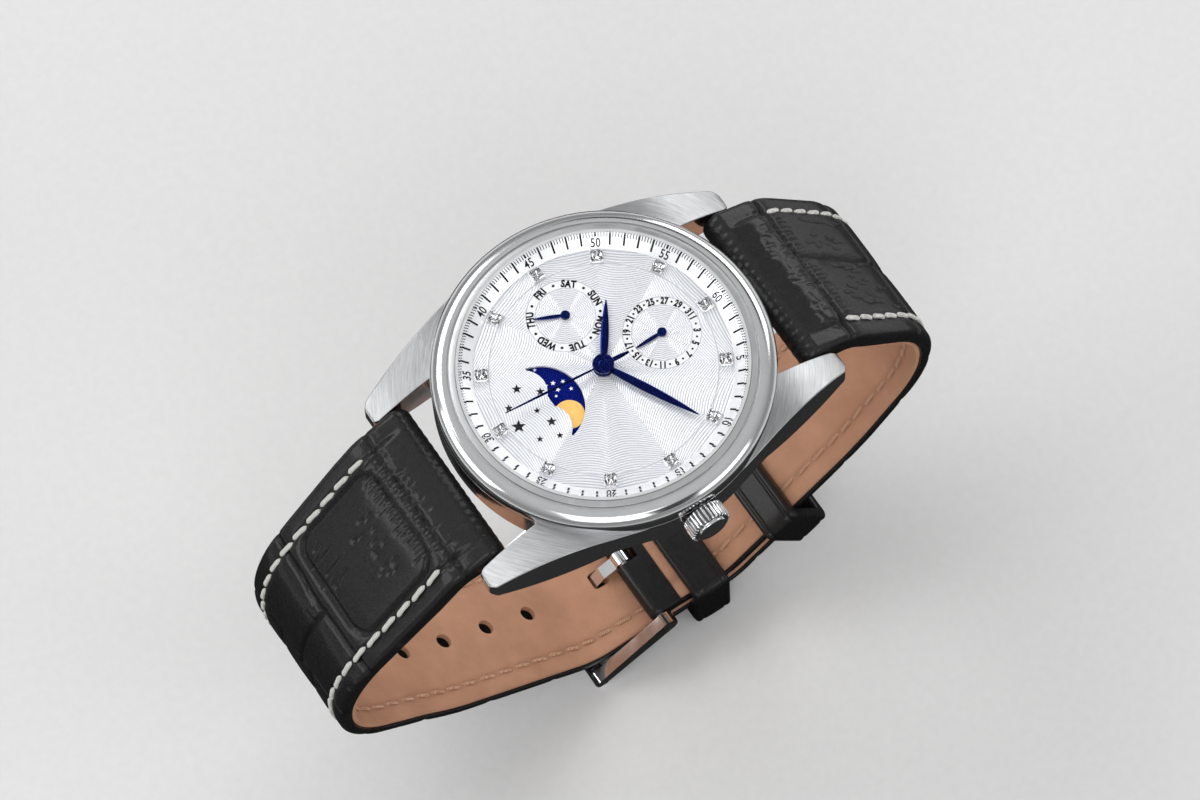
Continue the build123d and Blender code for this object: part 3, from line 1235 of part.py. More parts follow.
UPPER_PATH = [
    (BAR_Y, BAR_Z - STRAP_LOOP_RADIUS),
    (BAR_Y + UPPER_SHOULDER, BAR_Z - STRAP_LOOP_RADIUS),
    (BAR_Y + UPPER_FRONT, UPPER_FRONT_HIGH),
    (BAR_Y + UPPER_FRONT, UPPER_FRONT_LOW),
    UPPER_ELBOW,
    (HEEL_Y, HEEL_Z),
    (BUCKLE_Y, HEEL_Z),
]
UPPER_DEPTHS = [
    2 * STRAP_LOOP_RADIUS,
    UPPER_PAD,
    UPPER_PAD_END,
    UPPER_THICKNESS,
    UPPER_THICKNESS,
    UPPER_THICKNESS,
    UPPER_THICKNESS,
]
UPPER_ARCS = [SHOULDER_ARC, UPPER_ARC, UPPER_ARC, ELBOW_ARC, HEEL_ARC]

TURN_SHIFT = DOUBLED * math.tan(math.radians(SLOPE / 2))
LOWER_PATH = [
    (-BAR_Y, BAR_Z - STRAP_LOOP_RADIUS),
    (-BAR_Y - LOWER_SHOULDER, BAR_Z - STRAP_LOOP_RADIUS),
    (-BAR_Y - LOWER_FRONT, LOWER_FRONT_HIGH),
    (-BAR_Y - LOWER_FRONT, LOWER_FRONT_LOW),
    LOWER_ELBOW,
    (LOWER_HEEL_Y, LOWER_INNER_Z),
    (HEEL_Y + TURN_SHIFT, LOWER_INNER_Z),
    along_slope(FREE_END, DOUBLED),
]
LOWER_DEPTHS = [
    2 * STRAP_LOOP_RADIUS,
    LOWER_PAD,
    LOWER_PAD_END,
    LOWER_THICKNESS,
    LOWER_THICKNESS,
    LOWER_THICKNESS,
    LOWER_THICKNESS,
    LOWER_THICKNESS,
]
LOWER_ARCS = [SHOULDER_ARC, LOWER_ARC, LOWER_ARC, LOWER_ELBOW_ARC, LOWER_HEEL_ARC, HEEL_ARC + DOUBLED]


def beside(path, depths, side):
    """Corners of a path moved outwards, each by its own depth. side is 1 where outwards is on the left."""
    ways = []
    for (y0, z0), (y1, z1) in zip(path, path[1:]):
        length = math.hypot(y1 - y0, z1 - z0)
        ways.append(((y1 - y0) / length, (z1 - z0) / length))
    moved = []
    for index, (y, z) in enumerate(path):
        before = ways[max(index - 1, 0)]
        after = ways[min(index, len(ways) - 1)]
        normal = (-side * (before[1] + after[1]), side * (before[0] + after[0]))
        scale = depths[index] / (1 + before[0] * after[0] + before[1] * after[1])
        moved.append((y + normal[0] * scale, z + normal[1] * scale))
    return moved


def layer(path, arcs, inner, outer, side):
    """Face between two depths outwards from a path, with its corners rounded about one centre."""
    start, end = beside(path, inner, side), beside(path, outer, side)
    near = FilletPolyline(*start, radius=[arc + depth for arc, depth in zip(arcs, inner[1:])])
    far = FilletPolyline(*end, radius=[arc + depth for arc, depth in zip(arcs, outer[1:])])
    return make_face([near, far, Line(start[0], end[0]), Line(start[-1], end[-1])])


def taper():
    """Wedge that narrows the strap from the lugs to the buckle."""
    wide = LUG_GAP / 2 - STRAP_LUG_GAP
    narrow = STRAP_END_WIDTH / 2
    top, bottom = BEZEL_HIGH, FOOT_Z - OVERRUN
    corners = [(wide, top), (wide, TAPER_START), (narrow, TAPER_END), (narrow, bottom)]
    corners += [(-x, z) for x, z in reversed(corners)]
    return extrude(Plane.XZ * make_face(Polyline(*corners, close=True)), 3 * CASE_RADIUS, both=True)


def lining_parts(path, arcs, side, start_way, end_trim):
    """Lining, and the space that it takes out of the outer leather."""
    trimmed = [(path[0][0] + side * start_way, path[0][1])] + path[1:]
    last, before = trimmed[-1], trimmed[-2]
    length = math.hypot(last[0] - before[0], last[1] - before[1])
    share = end_trim / length
    trimmed[-1] = (last[0] + (before[0] - last[0]) * share, last[1] + (before[1] - last[1]) * share)
    flat = [0.0] * len(trimmed)
    thick = [LINING_THICKNESS] * len(trimmed)
    pocket = [LINING_THICKNESS + GLUE_GAP] * len(trimmed)
    lining = side_slab(layer(trimmed, arcs, flat, thick, side), CASE_RADIUS) & taper()
    cutter = side_slab(layer(trimmed, arcs, flat, pocket, side), CASE_RADIUS)
    return lining, cutter


def strap_blank(path, depths, arcs, side):
    """Whole thickness of one strap half, with the round loop at its spring bar."""
    flat = [0.0] * len(path)
    body = side_slab(layer(path, arcs, flat, depths, side), CASE_RADIUS)
    body = body + rod(STRAP_LOOP_RADIUS, -CASE_RADIUS, CASE_RADIUS, path[0][0], BAR_Z)
    return body & taper()


def bar_hole(y, z, radius):
    return rod(radius + STRAP_BORE_GAP, -CASE_RADIUS, CASE_RADIUS, y, z)


def upper_strap():
    """12 o'clock half: outer leather and lining. Its far end loops round the buckle's bar."""
    lining, cutter = lining_parts(UPPER_PATH, UPPER_ARCS, 1, LINING_START, BUCKLE_LINING_END)
    body = strap_blank(UPPER_PATH, UPPER_DEPTHS, UPPER_ARCS, 1)
    loop = rod(UPPER_THICKNESS / 2, -STRAP_END_WIDTH / 2, STRAP_END_WIDTH / 2, BUCKLE_Y, BUCKLE_Z)
    body = body + loop - cutter
    body = body - bar_hole(BAR_Y, BAR_Z, BARREL_RADIUS) - bar_hole(BUCKLE_Y, BUCKLE_Z, BUCKLE_BAR_RADIUS)
    half = TONGUE_WIDTH / 2 + TONGUE_ROOM
    slot = block(
        (-half, half),
        (BUCKLE_Y - UPPER_THICKNESS, BUCKLE_Y + TONGUE_SLOT_LENGTH),
        (BUCKLE_Z - UPPER_THICKNESS, BUCKLE_Z + UPPER_THICKNESS),
    )
    return body - slot, lining


def tongue_path():
    """Places that the tongue passes: ring, first bend, knee below the strap, tip in the outer bar."""
    knee_z = LOWER_INNER_Z - LOWER_THICKNESS - TONGUE_KNEE_GAP - TONGUE_THICKNESS / 2
    tip_z = FOOT_Z + TONGUE_TIP_LIFT + TONGUE_THICKNESS / 2
    return [
        (BUCKLE_Y - BUCKLE_BAR_RADIUS - TONGUE_START_DROP, BUCKLE_Z - TONGUE_START_DROP),
        (BUCKLE_Y - TONGUE_BEND_REACH, BUCKLE_Z - TONGUE_BEND_DROP),
        (BUCKLE_Y - TONGUE_KNEE_REACH, knee_z),
        (BUCKLE_Y - TONGUE_TIP_REACH, tip_z),
    ]


def free_hole(distance):
    """Round hole through the lower strap's rising run, a way back from the heel by the tongue."""
    slope = math.atan2(LOWER_ELBOW[1] - LOWER_INNER_Z, LOWER_HEEL_Y - LOWER_ELBOW[0])
    y = LOWER_HEEL_Y - distance * math.cos(slope)
    z = LOWER_INNER_Z + distance * math.sin(slope)
    hole = Cylinder(HOLE_RADIUS, 4 * LOWER_THICKNESS)
    return Pos(0, y, z) * Rot(-math.degrees(slope), 0, 0) * hole


def lower_strap():
    """6 o'clock half: outer leather and lining, with its row of holes and its pointed free end."""
    lining, cutter = lining_parts(LOWER_PATH, LOWER_ARCS, -1, LINING_START, TIP_LINING_END)
    body = strap_blank(LOWER_PATH, LOWER_DEPTHS, LOWER_ARCS, -1) - cutter
    body = body - bar_hole(-BAR_Y, BAR_Z, BARREL_RADIUS)
    start, bend = tongue_path()[1], tongue_path()[2]
    way = (bend[0] - start[0], bend[1] - start[1])
    length = math.hypot(*way)
    back = (start[0] - way[0] * OVERRUN / length, start[1] - way[1] * OVERRUN / length)
    ahead = (bend[0] + way[0] * OVERRUN / length, bend[1] + way[1] * OVERRUN / length)
    room = trace(Line(back, ahead), TONGUE_THICKNESS + 2 * TONGUE_ROOM)
    cuts = [side_slab(room, TONGUE_WIDTH / 2 + TONGUE_ROOM)]
    first = HOLE_FIRST - (BUCKLE_Y - TONGUE_KNEE_REACH - LOWER_HEEL_Y)
    for hole in range(HOLE_COUNT):
        cuts.append(free_hole(first + hole * HOLE_PITCH - HOLE_PITCH / 2))
    end_y = along_slope(FREE_END, DOUBLED + LOWER_THICKNESS)[0]
    half = STRAP_END_WIDTH / 2
    for side in (-1, 1):
        corner = Polyline(
            (side * TIP_WIDTH / 2, end_y),
            (side * (half + SEAT), end_y - TIP_LENGTH),
            (side * (half + OVERRUN), end_y + OVERRUN),
            (side * TIP_WIDTH / 2, end_y + OVERRUN),
            close=True,
        )
        cuts.append(Pos(0, 0, FOOT_Z) * extrude(make_face(corner), BAR_Z - UPPER_FRONT_LOW))
    for cut in cuts:
        body = body - cut
        lining = lining - cut
    return body, lining


# Keepers and buckle

def keeper():
    """Loop round both straps, standing along Y from zero, its opening's top at height zero."""
    half = STRAP_END_WIDTH / 2 + LEATHER_GAP
    deep = UPPER_THICKNESS + LOWER_THICKNESS + 3 * LEATHER_GAP
    wall = KEEPER_WALL
    outer = Pos(0, KEEPER_LENGTH / 2, -deep / 2) * Box(2 * (half + wall), KEEPER_LENGTH, deep + 2 * wall)
    outer = fillet(outer.edges().filter_by(Axis.Y), KEEPER_CORNER)
    return outer - block((-half, half), (-OVERRUN, KEEPER_LENGTH + OVERRUN), (-deep, 0))


def fixed_keeper():
    return Pos(0, FIXED_KEEPER_Y, HEEL_Z + LEATHER_GAP) * keeper()


def sliding_keeper():
    y, z = along_slope(SLIDING_KEEPER_START, -LEATHER_GAP)
    return Pos(0, y, z) * Rot(SLOPE, 0, 0) * keeper()


def buckle_frame():
    """Two arms and the outer bar, with a notch for the tongue's tip."""
    inner = STRAP_END_WIDTH / 2 + LEATHER_GAP
    outer = inner + BUCKLE_ARM
    bar_y = BUCKLE_Y - BUCKLE_REACH
    tip_z = FOOT_Z + BUCKLE_TIP_RADIUS
    eyes = Circle(BUCKLE_EYE_RADIUS).edges()
    eye = [edge.moved(Pos(BUCKLE_Y, BUCKLE_Z)) for edge in eyes]
    tip = [edge.moved(Pos(bar_y, tip_z)) for edge in Circle(BUCKLE_TIP_RADIUS).edges()]
    arm = side_slab(make_hull(eye + tip), outer)
    between = (bar_y - 2 * OVERRUN, BUCKLE_Y + 2 * OVERRUN)
    arm = arm - block((-inner, inner), between, (FOOT_Z - OVERRUN, HEEL_Z + OVERRUN))
    half = OUTER_BAR_WIDTH / 2
    bar = block((-outer, outer), (bar_y - half, bar_y + half), (FOOT_Z, FOOT_Z + OUTER_BAR_HEIGHT))
    bar = fillet(bar.edges().filter_by(Axis.Z), half / 2)
    notch_high = FOOT_Z + TONGUE_TIP_LIFT + TONGUE_THICKNESS + NOTCH_ROOM
    notch_half = TONGUE_WIDTH / 2 + NOTCH_ROOM
    notch_deep = (bar_y - half - OVERRUN, bar_y + half + OVERRUN)
    frame = arm + bar - block((-notch_half, notch_half), notch_deep, (FOOT_Z - OVERRUN, notch_high))
    return frame - rod(BUCKLE_BAR_RADIUS + SEAT, -outer - OVERRUN, outer + OVERRUN, BUCKLE_Y, BUCKLE_Z)


def buckle_tongue():
    """Ring round the bar and a bent blade through the strap's hole."""
    ring_body = rod(TONGUE_RING_RADIUS, -TONGUE_WIDTH / 2, TONGUE_WIDTH / 2, BUCKLE_Y, BUCKLE_Z)
    blade = side_slab(trace(Polyline(*tongue_path()), TONGUE_THICKNESS), TONGUE_WIDTH / 2)
    body = ring_body + blade
    return body - rod(BUCKLE_BAR_RADIUS + RUNNING, -TONGUE_WIDTH, TONGUE_WIDTH, BUCKLE_Y, BUCKLE_Z)


def buckle_bar():
    outer = STRAP_END_WIDTH / 2 + LEATHER_GAP + BUCKLE_ARM
    return rod(BUCKLE_BAR_RADIUS, -outer, outer, BUCKLE_Y, BUCKLE_Z)


# Every node and its solids

def write(name, shape):
    """One STEP file for a node. A list of solids makes a group."""
    if isinstance(shape, list):
        shape = Compound(children=[Part(piece.wrapped) for piece in shape])
    export_step(shape, f"parts/{name}.step")


def write_all():
    upper, upper_lining = upper_strap()
    lower, lower_lining = lower_strap()
    nodes = {
        "case_middle": case_middle(),
        "bezel": bezel(),
        "crystal": crystal(),
        "crystal_gasket": crystal_gasket(),
        "case_back": case_back(),
        "case_back_gasket": case_back_gasket(),
        "dial": dial(),
        "chapter_ring": chapter_ring(),
        "stone_settings": at_hours(setting),
        "hour_stones": at_hours(stone),
        "hour_hand": hour_hand(),
        "minute_hand": minute_hand(),
        "seconds_hand": seconds_hand(),
        "day_hand": small_hand(DAY_HAND_LENGTH, DAY_ANGLE, DAY_AT),
        "date_hand": small_hand(DATE_HAND_LENGTH, DATE_ANGLE, DATE_AT),
        "movement_holder": movement_holder(),
        "main_plate": main_plate(),
        "calendar_plate": calendar_plate(),
        "train_bridge": train_bridge(),
        "bridge_screws": bridge_screws(),
        "circuit_board": circuit_board(),
        "battery": battery(),
        "battery_clamp": battery_clamp(),
        "drive_coil": drive_coil(),
        "stator": stator(),
        "quartz_can": quartz_can(),
        "rotor": rotor(),
        "intermediate_wheel": intermediate_wheel(),
        "seconds_wheel": seconds_wheel(),
        "third_wheel": third_wheel(),
        "centre_wheel": centre_wheel(),
        "cannon_pinion": cannon_pinion(),
        "minute_wheel": minute_wheel(),
        "hour_wheel": hour_wheel(),
        "calendar_driving_wheel": day_driver(CALENDAR_DRIVE_AT, CALENDAR_DRIVE_ANGLE, CALENDAR_FINGER_LENGTH),
        "moon_driving_wheel": day_driver(MOON_DRIVE_AT, MOON_DRIVE_ANGLE, MOON_FINGER_LENGTH),
        "day_wheel": day_wheel(),
        "date_wheel": date_wheel(),
        "moon_disc": moon_disc(),
        "calendar_jumpers": calendar_jumpers(),
        "crown": crown(),
        "crown_tube": crown_tube(),
        "crown_gasket": crown_gasket(),
        "stem": stem(),
        "setting_slide": setting_slide(),
        "spring_bar_barrels": [bar_barrel(BAR_Y, BAR_Z), bar_barrel(-BAR_Y, BAR_Z)],
        "spring_bar_springs": [bar_spring(BAR_Y), bar_spring(-BAR_Y)],
        "spring_bar_pin_12_right": bar_pin(BAR_Y, 1),
        "spring_bar_pin_12_left": bar_pin(BAR_Y, -1),
        "spring_bar_pin_6_right": bar_pin(-BAR_Y, 1),
        "spring_bar_pin_6_left": bar_pin(-BAR_Y, -1),
        "strap_12_leather": upper,
        "strap_12_lining": upper_lining,
        "strap_6_leather": lower,
        "strap_6_lining": lower_lining,
        "fixed_keeper": fixed_keeper(),
        "sliding_keeper": sliding_keeper(),
        "buckle_frame": buckle_frame(),
        "buckle_tongue": buckle_tongue(),
        "buckle_bar": buckle_bar(),
    }
    for name, shape in nodes.items():
        write(name, shape)


write_all()
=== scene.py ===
# %% [markdown]
# # A moon phase wristwatch on a black leather strap
# The watch arrives as plain solids: case, dial, hands, movement, strap and buckle, each one in its
# own place and already able to move. This lesson dresses them. Solids that have the right shape
# keep it and get a finish. Pieces whose charm is in small shapes, such as the engine-turned dial,
# the leather and the stitching, are made again here at the same size and stand for the plain solid.

# %% Load the plain watch
import math
import random

import bmesh
import bpy
import numpy as np
from mathutils import Matrix, Vector


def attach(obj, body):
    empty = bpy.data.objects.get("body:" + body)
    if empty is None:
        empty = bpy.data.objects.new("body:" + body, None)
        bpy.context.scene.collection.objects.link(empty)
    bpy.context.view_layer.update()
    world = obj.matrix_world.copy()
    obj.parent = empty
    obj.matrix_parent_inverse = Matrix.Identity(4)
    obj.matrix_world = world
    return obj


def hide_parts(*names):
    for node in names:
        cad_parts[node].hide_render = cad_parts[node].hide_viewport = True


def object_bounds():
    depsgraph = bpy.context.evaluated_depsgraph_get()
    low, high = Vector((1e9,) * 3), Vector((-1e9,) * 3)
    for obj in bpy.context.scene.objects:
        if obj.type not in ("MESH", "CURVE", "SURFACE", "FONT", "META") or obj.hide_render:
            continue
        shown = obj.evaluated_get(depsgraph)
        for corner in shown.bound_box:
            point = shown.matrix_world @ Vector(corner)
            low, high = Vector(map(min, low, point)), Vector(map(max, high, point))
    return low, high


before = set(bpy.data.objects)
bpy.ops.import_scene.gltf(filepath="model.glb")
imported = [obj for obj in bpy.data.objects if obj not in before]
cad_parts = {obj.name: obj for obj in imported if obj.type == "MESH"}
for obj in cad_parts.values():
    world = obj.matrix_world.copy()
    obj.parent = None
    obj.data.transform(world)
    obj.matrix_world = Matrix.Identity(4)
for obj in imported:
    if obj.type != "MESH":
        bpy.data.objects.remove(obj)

MM = 0.001
scene = bpy.context.scene
plain_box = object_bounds()
print("plain solids:", len(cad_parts))
print("box in mm:", [[round(c / MM, 2) for c in p] for p in plain_box])

# %% [markdown]
# ## Camera
# A small object looks natural through a long lens from some way off: nothing is stretched. This
# camera stands two thirds of a metre away with a 180 mm lens. Its place and its three directions
# are written down, so the watch keeps its tilt in the picture. Making the directions square to each
# other by cross products removes rounding errors.

# %% The camera
CAMERA_PLACE = (0.24427, -0.13670, 0.63525)
lens = bpy.data.cameras.new("camera")
lens.sensor_width = 36
lens.lens = 180
camera = bpy.data.objects.new("camera", lens)
scene.collection.objects.link(camera)
away = Vector((0.3516, -0.1956, 0.9155)).normalized()
across = Vector((0.5493, 0.8350, -0.0326))
across = (across - away * across.dot(away)).normalized()
turn = Matrix((across, away.cross(across), away)).transposed().to_4x4()
camera.matrix_world = Matrix.Translation(CAMERA_PLACE) @ turn
scene.camera = camera
scene.view_settings.view_transform = "Standard"
print("camera distance in mm:", round(camera.location.length / MM))

# %% [markdown]
# ## Floor and light
# Polished steel has no colour of its own: it shows the room. So the room matters more than the
# lamps. A pale floor, a grey sky that is brighter overhead than at the horizon, and five soft lamps
# give bright bands with darker ones between. Three black cards are seen by reflections only, as a
# photographer sets up black card to draw the edge of a case. One of them lies under the watch and
# keeps the upright sides of the steel dark.

# %% Helpers for shader nodes
def put(tree, kind, settings=None, **inputs):
    """Adds a shader node. Inputs take a number or colour, or another node's output to link."""
    made = tree.nodes.new(kind)
    for name, value in (settings or {}).items():
        setattr(made, name, value)
    for name, value in inputs.items():
        socket = made.inputs[int(name[1:])] if name[0] == "_" else made.inputs[name.replace("_", " ")]
        if isinstance(value, bpy.types.NodeSocket):
            tree.links.new(value, socket)
        else:
            socket.default_value = value
    return made


def numbered(values):
    """Inputs named by their number, for nodes whose inputs share one name."""
    return {f"_{number}": value for number, value in enumerate(values)}


def calculate(tree, operation, *values):
    """One step of arithmetic on numbers."""
    return put(tree, "ShaderNodeMath", {"operation": operation}, **numbered(values)).outputs[0]


def on_vectors(tree, operation, *values):
    """One step of arithmetic on vectors. A length comes out as a number."""
    made = put(tree, "ShaderNodeVectorMath", {"operation": operation}, **numbered(values))
    return made.outputs["Value"] if operation == "LENGTH" else made.outputs[0]


def noise(tree, place, scale, detail=2.0, roughness=0.5):
    """Cloudy noise between 0 and 1."""
    look = {"Scale": scale, "Detail": detail, "Roughness": roughness}
    return put(tree, "ShaderNodeTexNoise", Vector=place, **look).outputs["Fac"]


def ranged(tree, value, from_low=0.0, from_high=1.0, to_low=0.0, to_high=1.0):
    """A number moved from one range to another and held inside it."""
    limits = {"From_Min": from_low, "From_Max": from_high, "To_Min": to_low, "To_Max": to_high}
    return put(tree, "ShaderNodeMapRange", Value=value, **limits).outputs["Result"]


def mixed(tree, mask, low, high, blend="MIX"):
    """Two colours mixed by a mask. Each is plain or comes from another node."""
    made = put(tree, "ShaderNodeMix", {"data_type": "RGBA", "blend_type": blend}, Factor=mask)
    for label, colour in (("A", low), ("B", high)):
        if isinstance(colour, tuple):
            made.inputs[label].default_value = (*colour, 1)
        else:
            tree.links.new(colour, made.inputs[label])
    return made.outputs["Result"]


def finish_shader(name):
    """A new material: its node tree and its one shader."""
    material = bpy.data.materials.new(name)
    material.use_nodes = True
    return material, material.node_tree, material.node_tree.nodes["Principled BSDF"]


def set_inputs(shader, **inputs):
    """Sets plain values or links outputs on a shader's sockets."""
    for name, value in inputs.items():
        socket = shader.inputs[name.replace("_", " ")]
        if isinstance(value, bpy.types.NodeSocket):
            shader.id_data.links.new(value, socket)
        else:
            socket.default_value = value


# %% The floor
FLOOR_REACH, FLOOR_BEND, FLOOR_SPOKES, BEND_STEPS = 1.3, 0.6, 96, 12
floor_z = plain_box[0].z - 0.04 * MM
sweep = [(FLOOR_REACH * step / BEND_STEPS, floor_z) for step in range(1, BEND_STEPS + 1)]
for step in range(1, BEND_STEPS + 1):
    lean = math.radians(90) * step / BEND_STEPS
    up = FLOOR_BEND * (1 - math.cos(lean))
    sweep.append((FLOOR_REACH + FLOOR_BEND * math.sin(lean), floor_z + up))
spokes = np.linspace(0, 2 * math.pi, FLOOR_SPOKES, endpoint=False)
floor_points = [(r * math.cos(a), r * math.sin(a), z) for r, z in sweep for a in spokes]
floor_faces = [tuple(range(FLOOR_SPOKES))]
for ring in range(len(sweep) - 1):
    for k in range(FLOOR_SPOKES):
        a, b = ring * FLOOR_SPOKES + k, ring * FLOOR_SPOKES + (k + 1) % FLOOR_SPOKES
        floor_faces.append((a, a + FLOOR_SPOKES, b + FLOOR_SPOKES, b))
floor_mesh = bpy.data.meshes.new("floor")
floor_mesh.from_pydata(floor_points, [], floor_faces)
floor_mesh.shade_smooth()
floor = bpy.data.objects.new("floor", floor_mesh)
scene.collection.objects.link(floor)

floor_finish, tree, shader = finish_shader("floor_paper")
fibre = noise(tree, put(tree, "ShaderNodeTexCoord").outputs["Object"], 900.0, 3.0)
pale = mixed(tree, fibre, (0.70, 0.70, 0.70), (0.76, 0.76, 0.76))
set_inputs(shader, Base_Color=pale, Roughness=0.9)
floor_mesh.materials.append(floor_finish)

# %% The sky
sky = bpy.data.worlds.new("studio")
scene.world = sky
sky.use_nodes = True
tree = sky.node_tree
tree.nodes.clear()
direction = put(tree, "ShaderNodeTexCoord").outputs["Generated"]
height = put(tree, "ShaderNodeSeparateXYZ", Vector=direction).outputs["Z"]
shade = ranged(tree, height, -0.1, 1.0, 0.10, 0.62)
background = put(tree, "ShaderNodeBackground", Color=(1, 1, 1, 1), Strength=shade)
out = put(tree, "ShaderNodeOutputWorld")
tree.links.new(background.outputs[0], out.inputs["Surface"])


# %% Lamps and black cards
def looks_at_watch(place):
    """The turn that points a lamp or a card at the watch."""
    return (-Vector(place)).to_track_quat("-Z", "Y").to_euler()


def soft_lamp(name, place, width, height, power):
    """A large area lamp that looks at the watch. Place and size are in metres."""
    light = bpy.data.lights.new(name, "AREA")
    light.shape = "RECTANGLE"
    light.size, light.size_y, light.energy = width, height, power
    lamp = bpy.data.objects.new(name, light)
    lamp.location = place
    lamp.rotation_euler = looks_at_watch(place)
    scene.collection.objects.link(lamp)


def black_card(name, place, width, height, flat=False):
    """A card that only reflections show. It looks at the watch or lies flat."""
    mesh = bpy.data.meshes.new(name)
    w, h = width / 2, height / 2
    mesh.from_pydata([(-w, -h, 0), (w, -h, 0), (w, h, 0), (-w, h, 0)], [], [(0, 1, 2, 3)])
    card = bpy.data.objects.new(name, mesh)
    card.location = place
    card.rotation_euler = (0, 0, 0) if flat else looks_at_watch(place)
    card.visible_camera = card.visible_diffuse = False
    card.visible_transmission = card.visible_shadow = False
    scene.collection.objects.link(card)
    finish, card_tree, card_shader = finish_shader(name)
    felt = put(card_tree, "ShaderNodeTexNoise", Scale=300.0).outputs["Fac"]
    dark = ranged(card_tree, felt, to_low=0.01, to_high=0.03)
    set_inputs(card_shader, Base_Color=dark, Roughness=1.0)
    mesh.materials.append(finish)


soft_lamp("lamp_left", (-0.52, -0.16, 0.52), 0.50, 0.34, 1.65)
soft_lamp("lamp_front", (-0.24, -0.60, 0.36), 0.48, 0.36, 1.35)
soft_lamp("lamp_back", (-0.29, 0.63, 0.35), 0.60, 0.34, 1.7)
soft_lamp("lamp_right", (0.52, 0.30, 0.34), 0.36, 0.26, 0.6)
soft_lamp("lamp_low", (0.40, -0.25, 0.50), 0.42, 0.44, 1.05)
black_card("card_floor", (0.08, -0.05, floor_z + 0.02 * MM), 0.42, 0.36, flat=True)
black_card("card_right", (0.44, 0.02, 0.40), 0.22, 0.30)
black_card("card_back", (-0.30, 0.36, 0.52), 0.44, 0.12)

# %% [markdown]
# ## Effects that several finishes share
# A node group is a small machine that many materials can use, each with its own numbers. Here are
# five: round brushing that follows the case, long scratches and finger marks, wear on raised edges,
# the grain of leather, and fine dust. They give out masks and heights only. Each material keeps its
# own shader, because that is where metal and leather part ways.

# %% Make an effect group
def effect(name, inputs, outputs):
    """A shader node group with named inputs and outputs. It always takes a place."""
    group = bpy.data.node_groups.new(name, "ShaderNodeTree")
    group.interface.new_socket("Place", in_out="INPUT", socket_type="NodeSocketVector")
    for label, start in inputs.items():
        socket = group.interface.new_socket(label, in_out="INPUT", socket_type="NodeSocketFloat")
        socket.default_value = start
    for label in outputs:
        group.interface.new_socket(label, in_out="OUTPUT", socket_type="NodeSocketFloat")
    return group, group.nodes.new("NodeGroupInput").outputs, group.nodes.new("NodeGroupOutput")


def give(group, output, **values):
    """Links what an effect has made to its outputs."""
    for name, value in values.items():
        group.links.new(value, output.inputs[name])


# %% Round brushing
group, take, output = effect("round_brushing", {"Lines": 14.0, "Length": 6.0}, ["Height", "Mask"])
flat = on_vectors(group, "MULTIPLY", take["Place"], (1, 1, 0))
lines = calculate(group, "MULTIPLY", on_vectors(group, "LENGTH", flat), take["Lines"])
way = put(group, "ShaderNodeSeparateXYZ", Vector=on_vectors(group, "NORMALIZE", flat)).outputs
east = calculate(group, "MULTIPLY", way["X"], take["Length"])
north = calculate(group, "MULTIPLY", way["Y"], take["Length"])
spot = put(group, "ShaderNodeCombineXYZ", X=lines, Y=east, Z=north).outputs[0]
streak = noise(group, spot, 1.0, 4.0, 0.65)
give(group, output, Height=streak, Mask=streak)
round_brushing = group

# %% Long scratches and finger marks
group, take, output = effect("handling", {"Smear Size": 0.35, "Scratches": 3.0}, ["Smear", "Scratch"])
smear = noise(group, take["Place"], take["Smear Size"], 5.0, 0.6)
slant = on_vectors(group, "MULTIPLY", take["Place"], (1.0, 0.08, 0.5))
hair = noise(group, slant, take["Scratches"], 2.0, 0.6)
give(group, output, Smear=ranged(group, smear, 0.35, 0.75), Scratch=ranged(group, hair, 0.58, 0.66))
handling = group

# %% Wear on raised edges
group, take, output = effect("edge_wear", {"Start": 0.52, "Full": 0.60}, ["Mask"])
bend = put(group, "ShaderNodeNewGeometry").outputs["Pointiness"]
raised = ranged(group, bend, take["Start"], take["Full"])
give(group, output, Mask=calculate(group, "MULTIPLY", raised, noise(group, take["Place"], 1.6, 4.0)))
edge_wear = group

# %% The grain of leather
group, take, output = effect("leather_grain", {"Cell Scale": 2.6, "Crease Scale": 0.9}, ["Height", "Crease"])
wander = put(group, "ShaderNodeTexNoise", Vector=take["Place"], Scale=0.8, Detail=3.0).outputs["Color"]
bent = on_vectors(group, "MULTIPLY_ADD", wander, (0.7, 0.7, 0.7), take["Place"])
edges = []
for scale, reach in ((take["Cell Scale"], 0.16), (take["Crease Scale"], 0.10)):
    cells = put(group, "ShaderNodeTexVoronoi", {"feature": "DISTANCE_TO_EDGE"}, Vector=bent, Scale=scale)
    edges.append(ranged(group, cells.outputs["Distance"], from_high=reach))
pores, crease = edges
grain = calculate(group, "MULTIPLY_ADD", pores, 0.55, noise(group, take["Place"], 9.0, 4.0))
give(group, output, Height=calculate(group, "MULTIPLY_ADD", crease, 0.45, grain), Crease=crease)
leather_grain = group

# %% Fine dust
group, take, output = effect("dust", {"Specks": 6.0, "Amount": 0.3}, ["Mask"])
few = ranged(group, noise(group, take["Place"], take["Specks"], 6.0, 0.75), 0.60, 0.78)
give(group, output, Mask=calculate(group, "MULTIPLY", few, take["Amount"]))
dust = group
print("effects:", [g.name for g in bpy.data.node_groups])

# %% Start a finish and place effects in it
FINISHES = {}


def new_finish(name):
    """A finish kept under its name: its tree, its shader, and the place on the piece in millimetres."""
    FINISHES[name], tree, shader = finish_shader(name)
    place = put(tree, "ShaderNodeTexCoord").outputs["Object"]
    in_mm = put(tree, "ShaderNodeVectorMath", {"operation": "SCALE"}, _0=place, Scale=1000.0)
    return tree, shader, in_mm.outputs[0]


def place_effect(tree, group, **inputs):
    return put(tree, "ShaderNodeGroup", {"node_tree": group}, **inputs).outputs


def cut_mask(tree):
    """How deep each point of the mesh was cut or pressed, from 0 to 1."""
    return put(tree, "ShaderNodeAttribute", {"attribute_name": "cut"}).outputs["Fac"]


